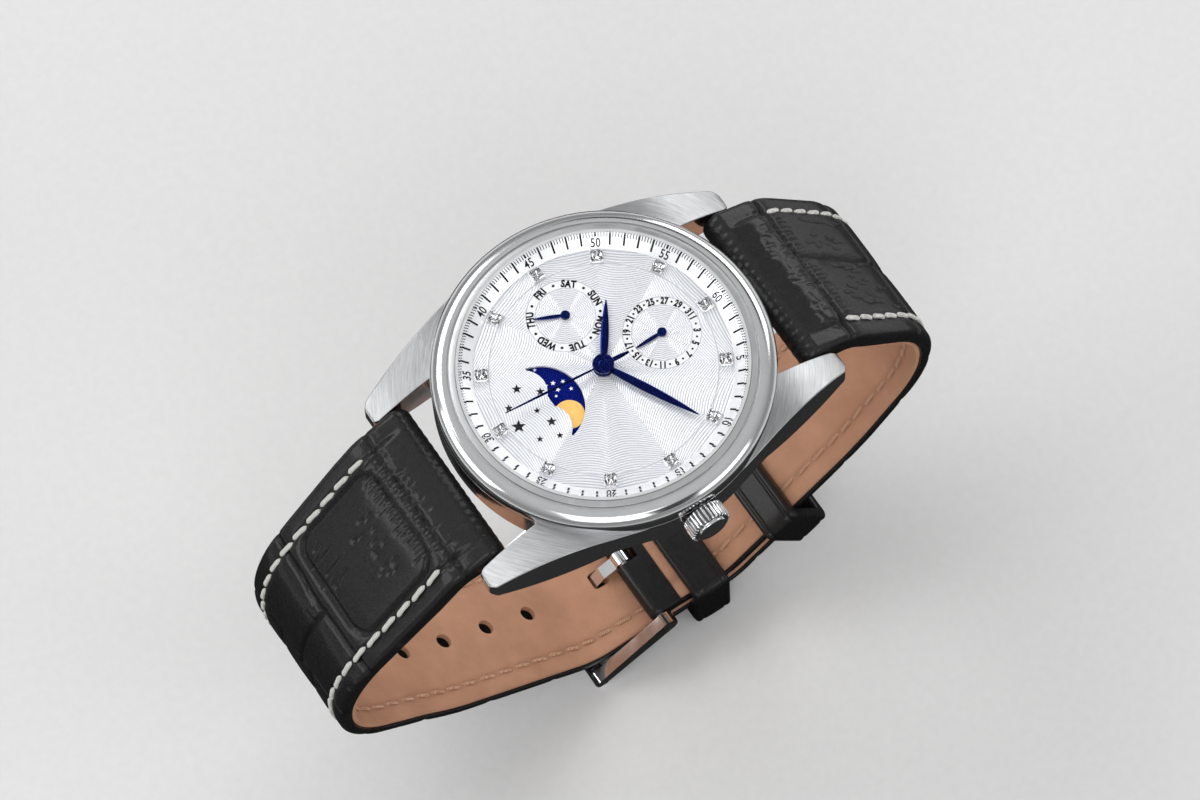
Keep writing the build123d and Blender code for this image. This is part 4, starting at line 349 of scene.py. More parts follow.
def between(tree, mask, low, high):
    """A number, or a colour, that goes from low to high with a mask."""
    if isinstance(low, tuple):
        return mixed(tree, mask, low, high)
    return ranged(tree, mask, to_low=low, to_high=high)


def painted_over(tree, colour, mask, paint):
    """A colour with paint laid over it where a mask says."""
    return mixed(tree, mask, colour, paint)


def bumped(tree, height, depth):
    """A normal from a height. Depth is in metres."""
    return put(tree, "ShaderNodeBump", Height=height, Strength=1.0, Distance=depth).outputs["Normal"]


def lit(colour, times, plus=0.0):
    """A colour made lighter or darker."""
    return tuple(min(1.0, c * times + plus) for c in colour)


# %% [markdown]
# ## Steel finishes
# The watch has several steels from one recipe. Bezel, crown and buckle are polished: nearly a
# mirror, with faint smears and hairlines that only change how sharp the mirror is. The tops of the
# lugs are brushed in arcs round the dial's centre. The ring under the crystal is finely brushed, and
# the floors of the crown's grooves are painted dark, as painted shade. Hidden movement steel is
# plain and a little grey.

# %% Steel
HAIRLINE = 0.0000003


def steel(name, tint, rough, smear_size=0.35, brushed=0.0, lines=14.0, streak=0.12, spread=0.5):
    """Polished steel, or brushed steel where brushed gives the depth of its lines in metres."""
    tree, shader, place = new_finish(name)
    marks = place_effect(tree, handling, Place=place, Smear_Size=smear_size)
    worn = place_effect(tree, edge_wear, Place=place)
    colour = between(tree, marks["Smear"], tint, lit(tint, 0.93))
    colour = painted_over(tree, colour, worn["Mask"], lit(tint, 1.12))
    height, depth = marks["Scratch"], HAIRLINE
    if brushed:
        brush = place_effect(tree, round_brushing, Place=place, Lines=lines)
        streaks = between(tree, brush["Mask"], 1.0 - streak * 1.6, 1.0 + streak)
        colour = mixed(tree, 1.0, colour, streaks, "MULTIPLY")
        height, depth = brush["Height"], brushed
    rough = between(tree, marks["Smear"], rough, rough * (1 + spread) + 0.03)
    set_inputs(shader, Base_Color=colour, Metallic=1.0, Roughness=rough, Normal=bumped(tree, height, depth))


steel("steel_polished", (0.80, 0.81, 0.82), 0.07)
steel("steel_brushed", (0.465, 0.47, 0.48), 0.34, brushed=0.00003, lines=6.0, streak=0.34, spread=0.1)
steel("steel_plain", (0.60, 0.60, 0.62), 0.24, brushed=0.000004, lines=8.0)
steel("battery_steel", (0.70, 0.70, 0.72), 0.16, smear_size=0.8)
steel("case_side", (0.76, 0.77, 0.78), 0.10)
steel("bezel_steel", (0.76, 0.77, 0.78), 0.12, spread=0.2)
steel("lip_steel", (0.62, 0.63, 0.64), 0.28, brushed=0.000004, lines=20.0)
# Painted shade: a dark steel for the floors of the crown's grooves, where shade falls.
steel("crown_groove_painted_shade", (0.13, 0.13, 0.14), 0.35)
steel("foil_silver", (0.93, 0.94, 0.96), 0.05)

# %% [markdown]
# ## Brass, copper, plastic and rubber
# Inside are gilt wheels, plated brass plates, a coil of lacquered copper wire, a green circuit
# board and a plastic holder. The coil's turns are a fine wave across its length, sharp enough to
# read as single wires. The board has a paler track pattern where copper lies under green lacquer.

# %% Brass, which is the same recipe in another colour
steel("wheel_brass", (0.83, 0.64, 0.30), 0.18, brushed=0.000003, lines=12.0)
steel("plate_brass", (0.74, 0.63, 0.40), 0.30, brushed=0.000005, lines=5.0)

# %% Copper coil
tree, shader, place = new_finish("coil_copper")
wave = {"bands_direction": "X", "wave_profile": "SIN"}
turns = put(tree, "ShaderNodeTexWave", wave, Vector=place, Scale=2.2, Distortion=0.15).outputs["Fac"]
marks = place_effect(tree, handling, Place=place, Smear_Size=1.5)
colour = between(tree, turns, (0.30, 0.09, 0.03), (0.78, 0.36, 0.16))
colour = painted_over(tree, colour, marks["Scratch"], (0.25, 0.08, 0.03))
rough = between(tree, marks["Smear"], 0.22, 0.4)
wires = bumped(tree, turns, 0.00003)
set_inputs(shader, Base_Color=colour, Metallic=0.85, Roughness=rough, Coat_Weight=0.4, Normal=wires)

# %% Circuit board
tree, shader, place = new_finish("board_green")
tracks = put(tree, "ShaderNodeTexBrick", {"offset": 0.5, "squash": 1.0}, Vector=place, Scale=0.9)
tracks.inputs["Mortar Size"].default_value = 0.035
tracks = tracks.outputs["Fac"]
specks = place_effect(tree, dust, Place=place, Specks=9.0)["Mask"]
colour = between(tree, tracks, (0.020, 0.130, 0.060), (0.060, 0.260, 0.110))
colour = painted_over(tree, colour, specks, (0.20, 0.42, 0.26))
rough = between(tree, specks, 0.32, 0.6)
set_inputs(shader, Base_Color=colour, Roughness=rough, Normal=bumped(tree, tracks, 0.00002))


# %% Plastic and rubber
def moulded(name, colour, rough, depth):
    tree, shader, place = new_finish(name)
    spark = noise(tree, place, 7.0, 5.0)
    marks = place_effect(tree, handling, Place=place, Smear_Size=0.6)
    specks = place_effect(tree, dust, Place=place, Specks=5.0, Amount=0.25)
    tone = between(tree, marks["Smear"], colour, lit(colour, 0.86))
    tone = painted_over(tree, tone, specks["Mask"], lit(colour, 1.5, 0.05))
    rough = between(tree, spark, rough, rough + 0.2)
    set_inputs(shader, Base_Color=tone, Roughness=rough, Normal=bumped(tree, spark, depth))


moulded("holder_plastic", (0.72, 0.73, 0.71), 0.42, 0.00001)
moulded("gasket_rubber", (0.030, 0.030, 0.032), 0.55, 0.00001)
moulded("gasket_nylon", (0.62, 0.63, 0.64), 0.40, 0.000006)

# %% [markdown]
# ## Glass, stones, blue hands and the dial's silver
# Crystal and stones are clear: their look is all in how they bend light, so they keep a plain
# metallic and transmission value, and only smears change their roughness. The crystal's own
# reflections are tinted almost black, as a coat against glare does it. The hands are steel blued by
# heat, so they are a dark metal under a thin clear coat. The dial is silver paint over brass: half
# metal, half white, with the cut pattern made in the mesh.

# %% Crystal and stones
def clear(name, tint, bending, glare=(1.0, 1.0, 1.0)):
    tree, shader, place = new_finish(name)
    smear = place_effect(tree, handling, Place=place, Smear_Size=0.25)["Smear"]
    colour = between(tree, smear, tint, lit(tint, 0.985))
    rough = between(tree, smear, 0.0, 0.012)
    set_inputs(shader, Metallic=0.0, Transmission_Weight=1.0, IOR=bending, Specular_Tint=(*glare, 1.0))
    set_inputs(shader, Base_Color=colour, Roughness=rough)


clear("crystal_glass", (1.0, 1.0, 1.0), 1.30, glare=(0.03, 0.04, 0.07))
clear("stone_clear", (0.97, 0.98, 1.0), 2.1)

# %% Blued steel
tree, shader, place = new_finish("hand_blue")
smear = place_effect(tree, handling, Place=place, Smear_Size=0.18)["Smear"]
worn = place_effect(tree, edge_wear, Place=place, Start=0.56, Full=0.70)
colour = between(tree, smear, (0.0015, 0.006, 0.085), (0.003, 0.011, 0.120))
colour = painted_over(tree, colour, worn["Mask"], (0.01, 0.03, 0.20))
set_inputs(shader, Metallic=1.0, Coat_Weight=0.1, Coat_Roughness=0.05)
set_inputs(shader, Base_Color=colour, Roughness=between(tree, smear, 0.10, 0.13))


# %% The moon disc's enamel, gold and star white
def enamel(name, low, high, metallic, rough, coat, gloss=0.5):
    tree, shader, place = new_finish(name)
    flake = place_effect(tree, dust, Place=place, Specks=14.0, Amount=0.15)["Mask"]
    colour = between(tree, noise(tree, place, 2.5, 6.0), low, high)
    colour = painted_over(tree, colour, flake, lit(high, 1.6, 0.008))
    rough = between(tree, flake, rough, rough + 0.1)
    set_inputs(shader, Metallic=metallic, Specular_IOR_Level=gloss, Coat_Weight=coat)
    set_inputs(shader, Base_Color=colour, Roughness=rough)


enamel("moon_blue", (0.001, 0.004, 0.105), (0.002, 0.008, 0.140), 0.0, 0.30, 0.0, gloss=0.03)
enamel("moon_gold", (0.86, 0.45, 0.10), (0.95, 0.58, 0.18), 0.15, 0.35, 0.2)
enamel("star_white", (0.75, 0.78, 0.86), (0.86, 0.88, 0.94), 0.0, 0.5, 0.0)
enamel("dial_ink", (0.006, 0.006, 0.008), (0.012, 0.012, 0.015), 0.0, 0.45, 0.0, gloss=0.12)
enamel("dial_line", (0.42, 0.43, 0.47), (0.50, 0.51, 0.55), 0.2, 0.45, 0.0)

# %% Dial silver: painted shade, greyer where the mesh says that the cutter went deep
tree, shader, place = new_finish("dial_silver")
DIAL_TINT, DIAL_CUT_PAINTED_SHADE = (0.88, 0.89, 0.915), (0.44, 0.46, 0.52)
brush = place_effect(tree, round_brushing, Place=place, Lines=9.0, Length=30.0)
specks = place_effect(tree, dust, Place=place, Specks=10.0, Amount=0.12)
# Painted shade: the deeper a point lies in a cut, the greyer its colour.
colour = between(tree, cut_mask(tree), DIAL_TINT, DIAL_CUT_PAINTED_SHADE)
colour = painted_over(tree, colour, specks["Mask"], lit(DIAL_TINT, 0.8))
rough = between(tree, brush["Mask"], 0.24, 0.36)
set_inputs(shader, Base_Color=colour, Metallic=0.55, Roughness=rough, Coat_Weight=0.15)

# %% [markdown]
# ## Leather, lining and thread
# The strap is black calf pressed with the large scales of an alligator. The scales and their
# grooves are in the mesh. The material adds what is too small for it: pores, fine creases, and a
# shine that is stronger on the flat of a scale than in a crease. The grooves are also painted a
# little darker, as painted shade. The lining is smooth tan calf with a softer, darker mottling, and
# its stitch channel is painted darker as painted shade too. Thread is waxed and twisted.

# %% Black leather
tree, shader, place = new_finish("strap_leather")
grain = place_effect(tree, leather_grain, Place=place, Cell_Scale=3.2, Crease_Scale=0.7)
specks = place_effect(tree, dust, Place=place, Specks=4.0, Amount=0.18)
worn = place_effect(tree, edge_wear, Place=place, Start=0.53, Full=0.62)
sunk = cut_mask(tree)
colour = between(tree, grain["Height"], (0.002, 0.002, 0.002), (0.006, 0.006, 0.0065))
colour = painted_over(tree, colour, worn["Mask"], (0.03, 0.03, 0.032))
colour = painted_over(tree, colour, specks["Mask"], (0.07, 0.07, 0.072))
# Painted shade: the pressed grooves get a darker colour.
colour = painted_over(tree, colour, sunk, (0.003, 0.003, 0.003))
pores = bumped(tree, grain["Height"], 0.00006)
set_inputs(shader, Specular_IOR_Level=0.22, Coat_Weight=between(tree, sunk, 0.42, 0.0), Coat_Roughness=0.18)
set_inputs(shader, Base_Color=colour, Roughness=between(tree, grain["Crease"], 0.50, 0.34), Normal=pores)

# %% Tan lining
tree, shader, place = new_finish("strap_lining")
grain = place_effect(tree, leather_grain, Place=place, Cell_Scale=5.5, Crease_Scale=1.4)
marks = place_effect(tree, handling, Place=place, Smear_Size=0.22)
colour = between(tree, marks["Smear"], (0.56, 0.295, 0.18), (0.45, 0.225, 0.135))
# Painted shade: the sunken stitch channel gets a darker tan.
colour = painted_over(tree, colour, cut_mask(tree), (0.26, 0.12, 0.07))
rough = between(tree, grain["Crease"], 0.68, 0.54)
pores = bumped(tree, grain["Height"], 0.00002)
set_inputs(shader, Base_Color=colour, Roughness=rough, Specular_IOR_Level=0.35, Normal=pores)


# %% Thread
def thread(name, low, high):
    tree, shader, place = new_finish(name)
    plies = {"bands_direction": "DIAGONAL"}
    ply = put(tree, "ShaderNodeTexWave", plies, Vector=place, Scale=1.9, Distortion=0.6).outputs["Fac"]
    fuzz = place_effect(tree, dust, Place=place, Specks=8.0, Amount=0.5)["Mask"]
    colour = painted_over(tree, between(tree, ply, low, high), fuzz, high)
    twist = bumped(tree, ply, 0.00006)
    set_inputs(shader, Base_Color=colour, Roughness=between(tree, fuzz, 0.6, 0.8), Normal=twist)
    set_inputs(shader, Sheen_Weight=0.2)


thread("thread_cream", (0.52, 0.51, 0.47), (0.80, 0.79, 0.75))
thread("thread_tan", (0.44, 0.22, 0.12), (0.66, 0.38, 0.24))
print("finishes:", sorted(FINISHES))

# %% [markdown]
# ## Dress the solids that stay
# Every solid came with a plain stand-in named after its finish. Swapping each for the finish of
# the same name dresses the whole watch at once, the movement too, which shows when a piece is taken
# away. Solids that get a finer mesh further down are hidden then.

# %% Swap the stand-ins
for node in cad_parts.values():
    plain_name = node.data.materials[0].name.split(".")[0]
    node.data.materials.clear()
    node.data.materials.append(FINISHES[plain_name])
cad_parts["crystal_gasket"].data.materials[0] = FINISHES["gasket_nylon"]
print("dressed solids:", len(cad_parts))

# %% [markdown]
# ## Making meshes
# A mesh is a list of points and a list of faces that join them. The helpers below make the shapes
# that a watchmaker's tools make: a lathe turns a profile round an axis, a press cuts a flat outline,
# and a grid of points can be bent into anything else. All of them work in millimetres, and the last
# one turns a shape into a piece that rides on its body.

# %% Shapes from points and faces
def join_shapes(*shapes):
    """Several shapes as one."""
    points, faces, count = [], [], 0
    for some_points, some_faces in shapes:
        points.append(np.asarray(some_points, float).reshape(-1, 3))
        faces.extend(tuple(i + count for i in face) for face in some_faces)
        count += len(points[-1])
    return np.vstack(points), faces


def grid_faces(rows, columns, round_rows=False, round_columns=False):
    """Faces between the points of a grid, which may close on itself either way."""
    faces = []
    for i in range(rows if round_rows else rows - 1):
        for j in range(columns if round_columns else columns - 1):
            below, beside = (i + 1) % rows, (j + 1) % columns
            corners = ((i, j), (i, beside), (below, beside), (below, j))
            faces.append(tuple(row * columns + column for row, column in corners))
    return faces


def skinned(rows):
    """A solid from rows of places round its section, with a flat face at each end."""
    size, last = len(rows[0]), len(rows) - 1
    faces = grid_faces(len(rows), size, round_columns=True)
    faces += [tuple(range(size)), tuple(range(last * size, (last + 1) * size))]
    return np.array(rows, float).reshape(-1, 3), faces


def lathe(profile, around=192, closed=True):
    """A profile of (radius, height) places turned round Z. A place on the axis becomes one point."""
    angles = np.linspace(0, 2 * math.pi, around, endpoint=False)
    points, rows = [], []
    for radius, height in profile:
        if radius < 1e-6:
            rows.append([len(points)] * around)
            points.append((0, 0, height))
        else:
            rows.append(list(range(len(points), len(points) + around)))
            points.extend((radius * math.cos(a), radius * math.sin(a), height) for a in angles)
    faces = []
    for k in range(len(rows) if closed else len(rows) - 1):
        low, high = rows[k], rows[(k + 1) % len(rows)]
        for j in range(around):
            corners = [low[j], low[(j + 1) % around], high[(j + 1) % around], high[j]]
            corners = [c for n, c in enumerate(corners) if c not in corners[:n]]
            if len(corners) > 2:
                faces.append(tuple(corners))
    return np.array(points), faces


def eased(profile, radius=0.06, steps=3, closed=True):
    """A profile with each sharp corner replaced by a small arc."""
    count, result = len(profile), []
    for k, here in enumerate(profile):
        if not closed and k in (0, count - 1):
            result.append(here)
            continue
        before, after = Vector(profile[k - 1]), Vector(profile[(k + 1) % count])
        corner = Vector(here)
        to_before, to_after = before - corner, after - corner
        too_near = to_before.length < 1e-6 or to_after.length < 1e-6
        if too_near or abs(to_before.angle(to_after)) > math.radians(150):
            result.append(here)
            continue
        reach = min(radius, to_before.length * 0.45, to_after.length * 0.45)
        first = corner + to_before.normalized() * reach
        last = corner + to_after.normalized() * reach
        for step in range(steps + 1):
            t = step / steps
            result.append(tuple(first * (1 - t) ** 2 + corner * 2 * t * (1 - t) + last * t**2))
    return result


def box_outline(left, right, low, high):
    return [(left, low), (right, low), (right, high), (left, high)]


def turned_solid(profile, around, ease=0.0, steps=4):
    """A solid turned from a profile that starts and ends on the axis."""
    if ease:
        profile = eased(profile, ease, steps, closed=False)
    return lathe(profile, around, closed=False)


def disc(radius, low, high, around, ease=0.0, steps=4):
    """A round plate or a rod."""
    return turned_solid([(0, low), (radius, low), (radius, high), (0, high)], around, ease, steps)


def flat_ring(inner, outer, low, high, around=160):
    return lathe(box_outline(inner, outer, low, high), around)


def pressed(outline, low, high):
    """A flat outline of (x, y) places with a thickness."""
    count = len(outline)
    points = [(x, y, low) for x, y in outline] + [(x, y, high) for x, y in outline]
    faces = [tuple(range(count))[::-1], tuple(range(count, 2 * count))]
    faces += [(k, (k + 1) % count, count + (k + 1) % count, count + k) for k in range(count)]
    return np.array(points, float), faces


def moved(shape, matrix):
    points, faces = shape
    points = np.asarray(points, float) @ np.array(matrix.to_3x3()).T + np.array(matrix.translation)
    return points, faces


def at(x, y, z=0.0, clockwise=0.0):
    """A place on the watch, with a turn clockwise as seen from above."""
    return Matrix.Translation((x, y, z)) @ Matrix.Rotation(-math.radians(clockwise), 4, "Z")


def clock(radius, degrees, centre=(0.0, 0.0)):
    """A place at a distance from a centre, its direction given clockwise from 12 o'clock."""
    a = math.radians(degrees)
    return centre[0] + radius * math.sin(a), centre[1] + radius * math.cos(a)


def bend_arc(first, middle, last, steps):
    """Places along the arc through three places."""
    (ax, ay), (bx, by), (cx, cy) = first, middle, last
    d = 2 * (ax * (by - cy) + bx * (cy - ay) + cx * (ay - by))
    a, b, c = ax**2 + ay**2, bx**2 + by**2, cx**2 + cy**2
    ux = (a * (by - cy) + b * (cy - ay) + c * (ay - by)) / d
    uy = (a * (cx - bx) + b * (ax - cx) + c * (bx - ax)) / d
    radius = math.hypot(ax - ux, ay - uy)
    turns = [math.atan2(y - uy, x - ux) for x, y in (first, middle, last)]
    one, two = ((b - a + math.pi) % (2 * math.pi) - math.pi for a, b in zip(turns, turns[1:]))
    angles = [turns[0] + (one + two) * k / steps for k in range(steps + 1)]
    return [(ux + radius * math.cos(a), uy + radius * math.sin(a)) for a in angles]


# %% Turn a shape into a piece
def mesh_of(name, shape, cut=None):
    """A mesh in metres from a shape in millimetres, its faces all turned outwards."""
    points, faces = shape
    mesh = bpy.data.meshes.new(name)
    mesh.from_pydata((np.asarray(points) * MM).tolist(), [], faces)
    if cut is not None:
        depths = mesh.attributes.new("cut", "FLOAT", "POINT").data
        depths.foreach_set("value", np.asarray(cut, np.float32))
    tidy = bmesh.new()
    tidy.from_mesh(mesh)
    bmesh.ops.recalc_face_normals(tidy, faces=tidy.faces)
    tidy.to_mesh(mesh)
    tidy.free()
    return mesh


def smooth(piece, crisp=32):
    """Smooth shading, with edges sharper than so many degrees kept sharp."""
    piece.data.shade_smooth()
    piece.data.set_sharp_from_angle(angle=math.radians(crisp))


def make_piece(name, shape, body, finish, stands_for=(), crisp=32, cut=None):
    """A named piece that rides on a body and may stand for plain solids."""
    piece = bpy.data.objects.new(name, mesh_of(name, shape, cut))
    piece.data.materials.append(FINISHES[finish])
    scene.collection.objects.link(piece)
    smooth(piece, crisp)
    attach(piece, body)
    if stands_for:
        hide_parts(*stands_for)
    return piece


def shape_now(thing):
    """The mesh of an object with its modifiers or its lettering worked out."""
    bpy.context.view_layer.update()
    worked_out = thing.evaluated_get(bpy.context.evaluated_depsgraph_get())
    return bpy.data.meshes.new_from_object(worked_out)


def combine(piece, other, operation):
    """Adds another shape to a piece, or cuts it out, as UNION and DIFFERENCE do."""
    tool = bpy.data.objects.new("tool", mesh_of("tool", other))
    scene.collection.objects.link(tool)
    modifier = piece.modifiers.new("tool", "BOOLEAN")
    modifier.operation, modifier.solver, modifier.object = operation, "EXACT", tool
    result = shape_now(piece)
    piece.modifiers.clear()
    piece.data = result
    bpy.data.objects.remove(tool)


# %% [markdown]
# ## Case, bezel and crystal
# The case middle is a turned band with four lugs that sweep down to the strap. A file and a
# polishing wheel would do it: brush the tops, polish the sides. Here the band is a lathe shape and
# each lug a row of rounded sections, and a boolean makes them one. Faces that look up get the
# brushed steel, and the rest the polished one. The bezel is a lathe shape too: one broad, round band
# and a low lip at the crystal. Its corners are eased a little, because a real edge always catches a
# thin line of light.

# %% The shape of a lug
CASE_RADIUS = 20.0
LUG_ROOT, LUG_TIP = 5.47, 23.9
LUG_ROOT_SIDE, LUG_TIP_SIDE, LUG_INSIDE = 19.24, 14.0, 11.0
LUG_BEND = 10.5


def lug_top(y):
    past = max(0.0, y - LUG_BEND)
    return 5.7 - 0.1 * past - 0.02687 * past * (y - 17.5)


def lug_foot(y):
    past = max(0.0, y - LUG_BEND)
    return 1.9 - 0.36 * past + 0.02164 * past * (y - 15.5)


def lug_section(y, inset, ease):
    """One cross-section of a lug: a box with eased edges, at a place along the lug."""
    near_tip = max(0.0, y - LUG_TIP) / 0.7
    narrowed = (y - LUG_ROOT) * (LUG_ROOT_SIDE - LUG_TIP_SIDE) / (LUG_TIP - LUG_ROOT)
    side = LUG_ROOT_SIDE - narrowed if y < LUG_TIP else LUG_TIP_SIDE - 0.7 * near_tip
    left, right = LUG_INSIDE + 0.35 * near_tip + inset, side - inset
    corners = box_outline(left, right, lug_foot(y) + inset, lug_top(y) - inset)
    return [(x, y, z) for x, z in eased(corners, ease, 4)]


# %% The case middle
stations = [(LUG_ROOT, 0.0)] + [(y, 0.0) for y in np.linspace(6.5, LUG_TIP, 34)]
stations += [(24.2, 0.0), (24.42, 0.03), (24.54, 0.1), (24.6, 0.2)]
uncut_lug = skinned([lug_section(y, inset, 0.16) for y, inset in stations])
one_lug = bpy.data.objects.new("one_lug", mesh_of("one_lug", uncut_lug))
scene.collection.objects.link(one_lug)
combine(one_lug, disc(17.75, -3, 9, 256), "DIFFERENCE")
lug_points = np.array([v.co for v in one_lug.data.vertices]) / MM
lug_faces = [tuple(face.vertices) for face in one_lug.data.polygons]
bpy.data.objects.remove(one_lug)

band_low = [(17.2, 0.92), (17.67, 0.92), (17.67, 0.3), (18.3, 0.3), (CASE_RADIUS, 1.9), (CASE_RADIUS, 5.9)]
band_seat = [(18.2, 5.9), (18.2, 6.45), (17.35, 6.45), (17.35, 5.9), (17.2, 5.9)]
band = lathe(eased(band_low + band_seat, 0.09), 256)
case = make_piece("case_body", band, "case", "case_side", ["case_middle"])
for sx, sy in ((1, 1), (-1, 1), (1, -1), (-1, -1)):
    combine(case, (lug_points * (sx, sy, 1), lug_faces), "UNION")
print("case body faces:", len(case.data.polygons))

# %% Drill the case for the spring bars and the crown's tube
BAR_Y, BAR_Z = 22.6, 1.35
CROWN_Z = 4.1


def rod_along_x(radius, start, end, y, z):
    lay_down = Matrix.Translation((0, y, z)) @ Matrix.Rotation(math.radians(90), 4, "Y")
    return moved(disc(radius, start, end, 40), lay_down)


bar_holes = [rod_along_x(0.46, -12.2, 12.2, y, BAR_Z) for y in (BAR_Y, -BAR_Y)]
combine(case, join_shapes(*bar_holes), "DIFFERENCE")
combine(case, rod_along_x(1.07, 15.5, 21.0, 0, CROWN_Z), "DIFFERENCE")
case.data.materials.clear()
case.data.materials.append(FINISHES["case_side"])
case.data.materials.append(FINISHES["steel_brushed"])
for face in case.data.polygons:
    from_axis = math.hypot(face.center.x, face.center.y)
    on_lug = from_axis > 20.02 * MM or face.center.z < 5.75 * MM
    face.material_index = 1 if face.normal.z > 0.72 and on_lug else 0
smooth(case, 30)
weighted = case.modifiers.new("flat_faces_stay_flat", "WEIGHTED_NORMAL")
weighted.keep_sharp = True
print("brushed faces on the lugs:", sum(face.material_index for face in case.data.polygons))

# %% The bezel
band_arc = bend_arc((CASE_RADIUS, 7.2), (19.3, 8.2), (18.0, 8.5), 30)
inside = [(17.0, 5.92), (17.33, 5.92), (17.33, 6.47), (18.22, 6.47), (18.22, 5.92)]
outside = eased([(18.22, 5.92), (CASE_RADIUS, 5.92), (CASE_RADIUS, 7.2)], 0.10, 4, closed=False)
lip = [(18.0, 8.5), (18.0, 8.2), (17.75, 8.2), (17.75, 8.5), (17.0, 8.6), (17.0, 5.92)]
bezel_profile = inside + outside[1:-1] + band_arc + eased(lip, 0.05, 4, closed=False)[1:-1]
bezel_shape = lathe(bezel_profile, 512)
bezel = make_piece("bezel_ring", bezel_shape, "case", "bezel_steel", ["bezel"], crisp=28)
bezel.data.materials.append(FINISHES["lip_steel"])
for face in bezel.data.polygons:
    on_lip = math.hypot(face.center.x, face.center.y) < 18.01 * MM and face.center.z > 6.6 * MM
    face.material_index = 1 if on_lip else 0
print("bezel profile places:", len(bezel_profile))

# %% The crystal
CRYSTAL_RISE = 0.9


def dome(radius, low, rise, steps):
    """Places from the rim of a shallow dome to its top."""
    ball = (radius**2 + rise**2) / (2 * rise)
    reaches = [radius * (1 - k / steps) for k in range(steps + 1)]
    return [(reach, low + rise - ball + math.sqrt(ball**2 - reach**2)) for reach in reaches]


under, over = dome(16.2, 8.25, 0.65, 40), dome(16.35, 9.0, CRYSTAL_RISE, 40)
crystal_shape = turned_solid(under[::-1] + [(16.6, 8.25), (16.6, 8.75)] + over, 256)
crystal = make_piece("crystal_dome", crystal_shape, "case", "crystal_glass", ["crystal"], crisp=25)
crystal.visible_shadow = False
print("crystal rise in mm:", CRYSTAL_RISE)

# %% [markdown]
# ## The dial
# The pattern on a silver dial is cut by an engine that rocks the work while it turns, so no line is
# a plain ring: each swells and dips six times on its way round. Here a fine round grid follows the
# same rings, so the mesh has points where the cuts are. The number of a ring says how deep it lies,
# and that depth is also kept on the mesh, so the silver can be painted greyer in the cuts as painted
# shade that makes the lines show. The two small dials are made the same way and set a little lower,
# and a punch cuts the moon window.

# %% Engine-turned plates
def engine_turned(inner, outer, top, pitch, bow, depth, rings, around, plain_rings):
    """A round plate cut with rings that swell and dip six times, and how deep each point is."""
    angles = np.linspace(0, 2 * math.pi, around, endpoint=False)
    ring, turn_angle = np.meshgrid(np.linspace(inner, outer, rings), angles, indexing="ij")
    in_fan = np.abs((turn_angle * 3 / math.pi) % 1.0 * 2 - 1)
    calm = np.clip((outer - ring) / (0.2 * outer), 0, 1) * np.clip((ring - inner) / (0.12 * outer), 0, 1)
    reach = ring + bow * in_fan * (in_fan - 0.62) * (0.35 + 0.65 * ring / outer) * calm
    fade = np.clip((reach - inner) / 0.25, 0, 1) * np.clip((outer - reach) / 0.12, 0, 1)
    for line_radius, half_width in plain_rings:
        fade = fade * np.clip((np.abs(reach - line_radius) - half_width) / 0.05, 0, 1)
    ripple = (0.5 - 0.5 * np.cos(2 * math.pi * ring / pitch)) ** 1.5 * fade
    places = [reach * np.cos(turn_angle), reach * np.sin(turn_angle), top - depth * ripple]
    face = np.stack(places, -1).reshape(-1, 3)
    under = [(r * math.cos(a), r * math.sin(a), DIAL_UNDERSIDE) for r in (outer, inner) for a in angles]
    faces = grid_faces(rings + 2, around, round_rows=True, round_columns=True)
    return (np.vstack([face, np.array(under)]), faces), np.append(ripple.ravel(), np.zeros(2 * around))


DIAL_TOP, SMALL_DIAL_TOP, DIAL_UNDERSIDE = 7.0, 6.92, 6.6
day_at, date_at, moon_at = (-8.0, 0.0), (0.0, 8.0), (0.0, -8.7)
main_shape, main_cut = engine_turned(0.86, 16.6, DIAL_TOP, 0.31, 5.4, 0.034, 440, 600, [(13.2, 0.10)])
dial = make_piece("dial_plate", main_shape, "case", "dial_silver", ["dial"], cut=main_cut, crisp=40)
print("dial grid points:", len(main_shape[0]))


# %% Punch the moon window and the seats of the small dials
def window_outline():
    """The moon window: an arc above, two round bumps below, and rounded tips."""
    radius, bump, bump_x, drop, tip_rise = 5.18, 2.8, 2.6, 0.6, 1.2
    start = math.atan2(tip_rise, math.sqrt(radius**2 - tip_rise**2))
    arc = np.linspace(start, math.pi - start, 90)
    places = [(radius * math.cos(a), moon_at[1] + radius * math.sin(a)) for a in arc]
    low, bump_y = moon_at[1] + tip_rise, moon_at[1] - drop
    rise = low - bump_y
    foot = math.sqrt(bump**2 - rise**2)
    places.append((-bump_x - foot, low))
    around = np.linspace(math.atan2(rise, -foot), math.acos((bump_x - 0.75) / bump), 40)
    places += [(-bump_x + bump * math.cos(a), bump_y + bump * math.sin(a)) for a in around][1:]
    return places + [(-x, y) for x, y in reversed(places[90:])]


combine(dial, pressed(window_outline(), 6.0, 7.6), "DIFFERENCE")
for centre in (day_at, date_at):
    combine(dial, moved(disc(4.6, 6.0, 7.6, 160), at(*centre)), "DIFFERENCE")
smooth(dial, 40)
print("dial faces after punching:", len(dial.data.polygons))

bare = [(3.5, 0.06), (4.05, 0.45)]
small_shape, small_cut = engine_turned(0.54, 4.597, SMALL_DIAL_TOP, 0.26, 1.6, 0.026, 140, 300, bare)
for label, centre in (("day_small_dial", day_at), ("date_small_dial", date_at)):
    make_piece(label, moved(small_shape, at(*centre)), "case", "dial_silver", cut=small_cut, crisp=40)
print("small dial points:", len(small_shape[0]))

# %% [markdown]
# ## Print on the dial
# Numbers, day names, dots and little stars are printed: a film of ink a few hundredths of a
# millimetre thick. Blender's built-in type gives the outlines. Each word is made into a mesh,
# measured, scaled to the height wanted, and laid where it belongs, so the lettering is real shape
# and stays sharp however near the camera comes.

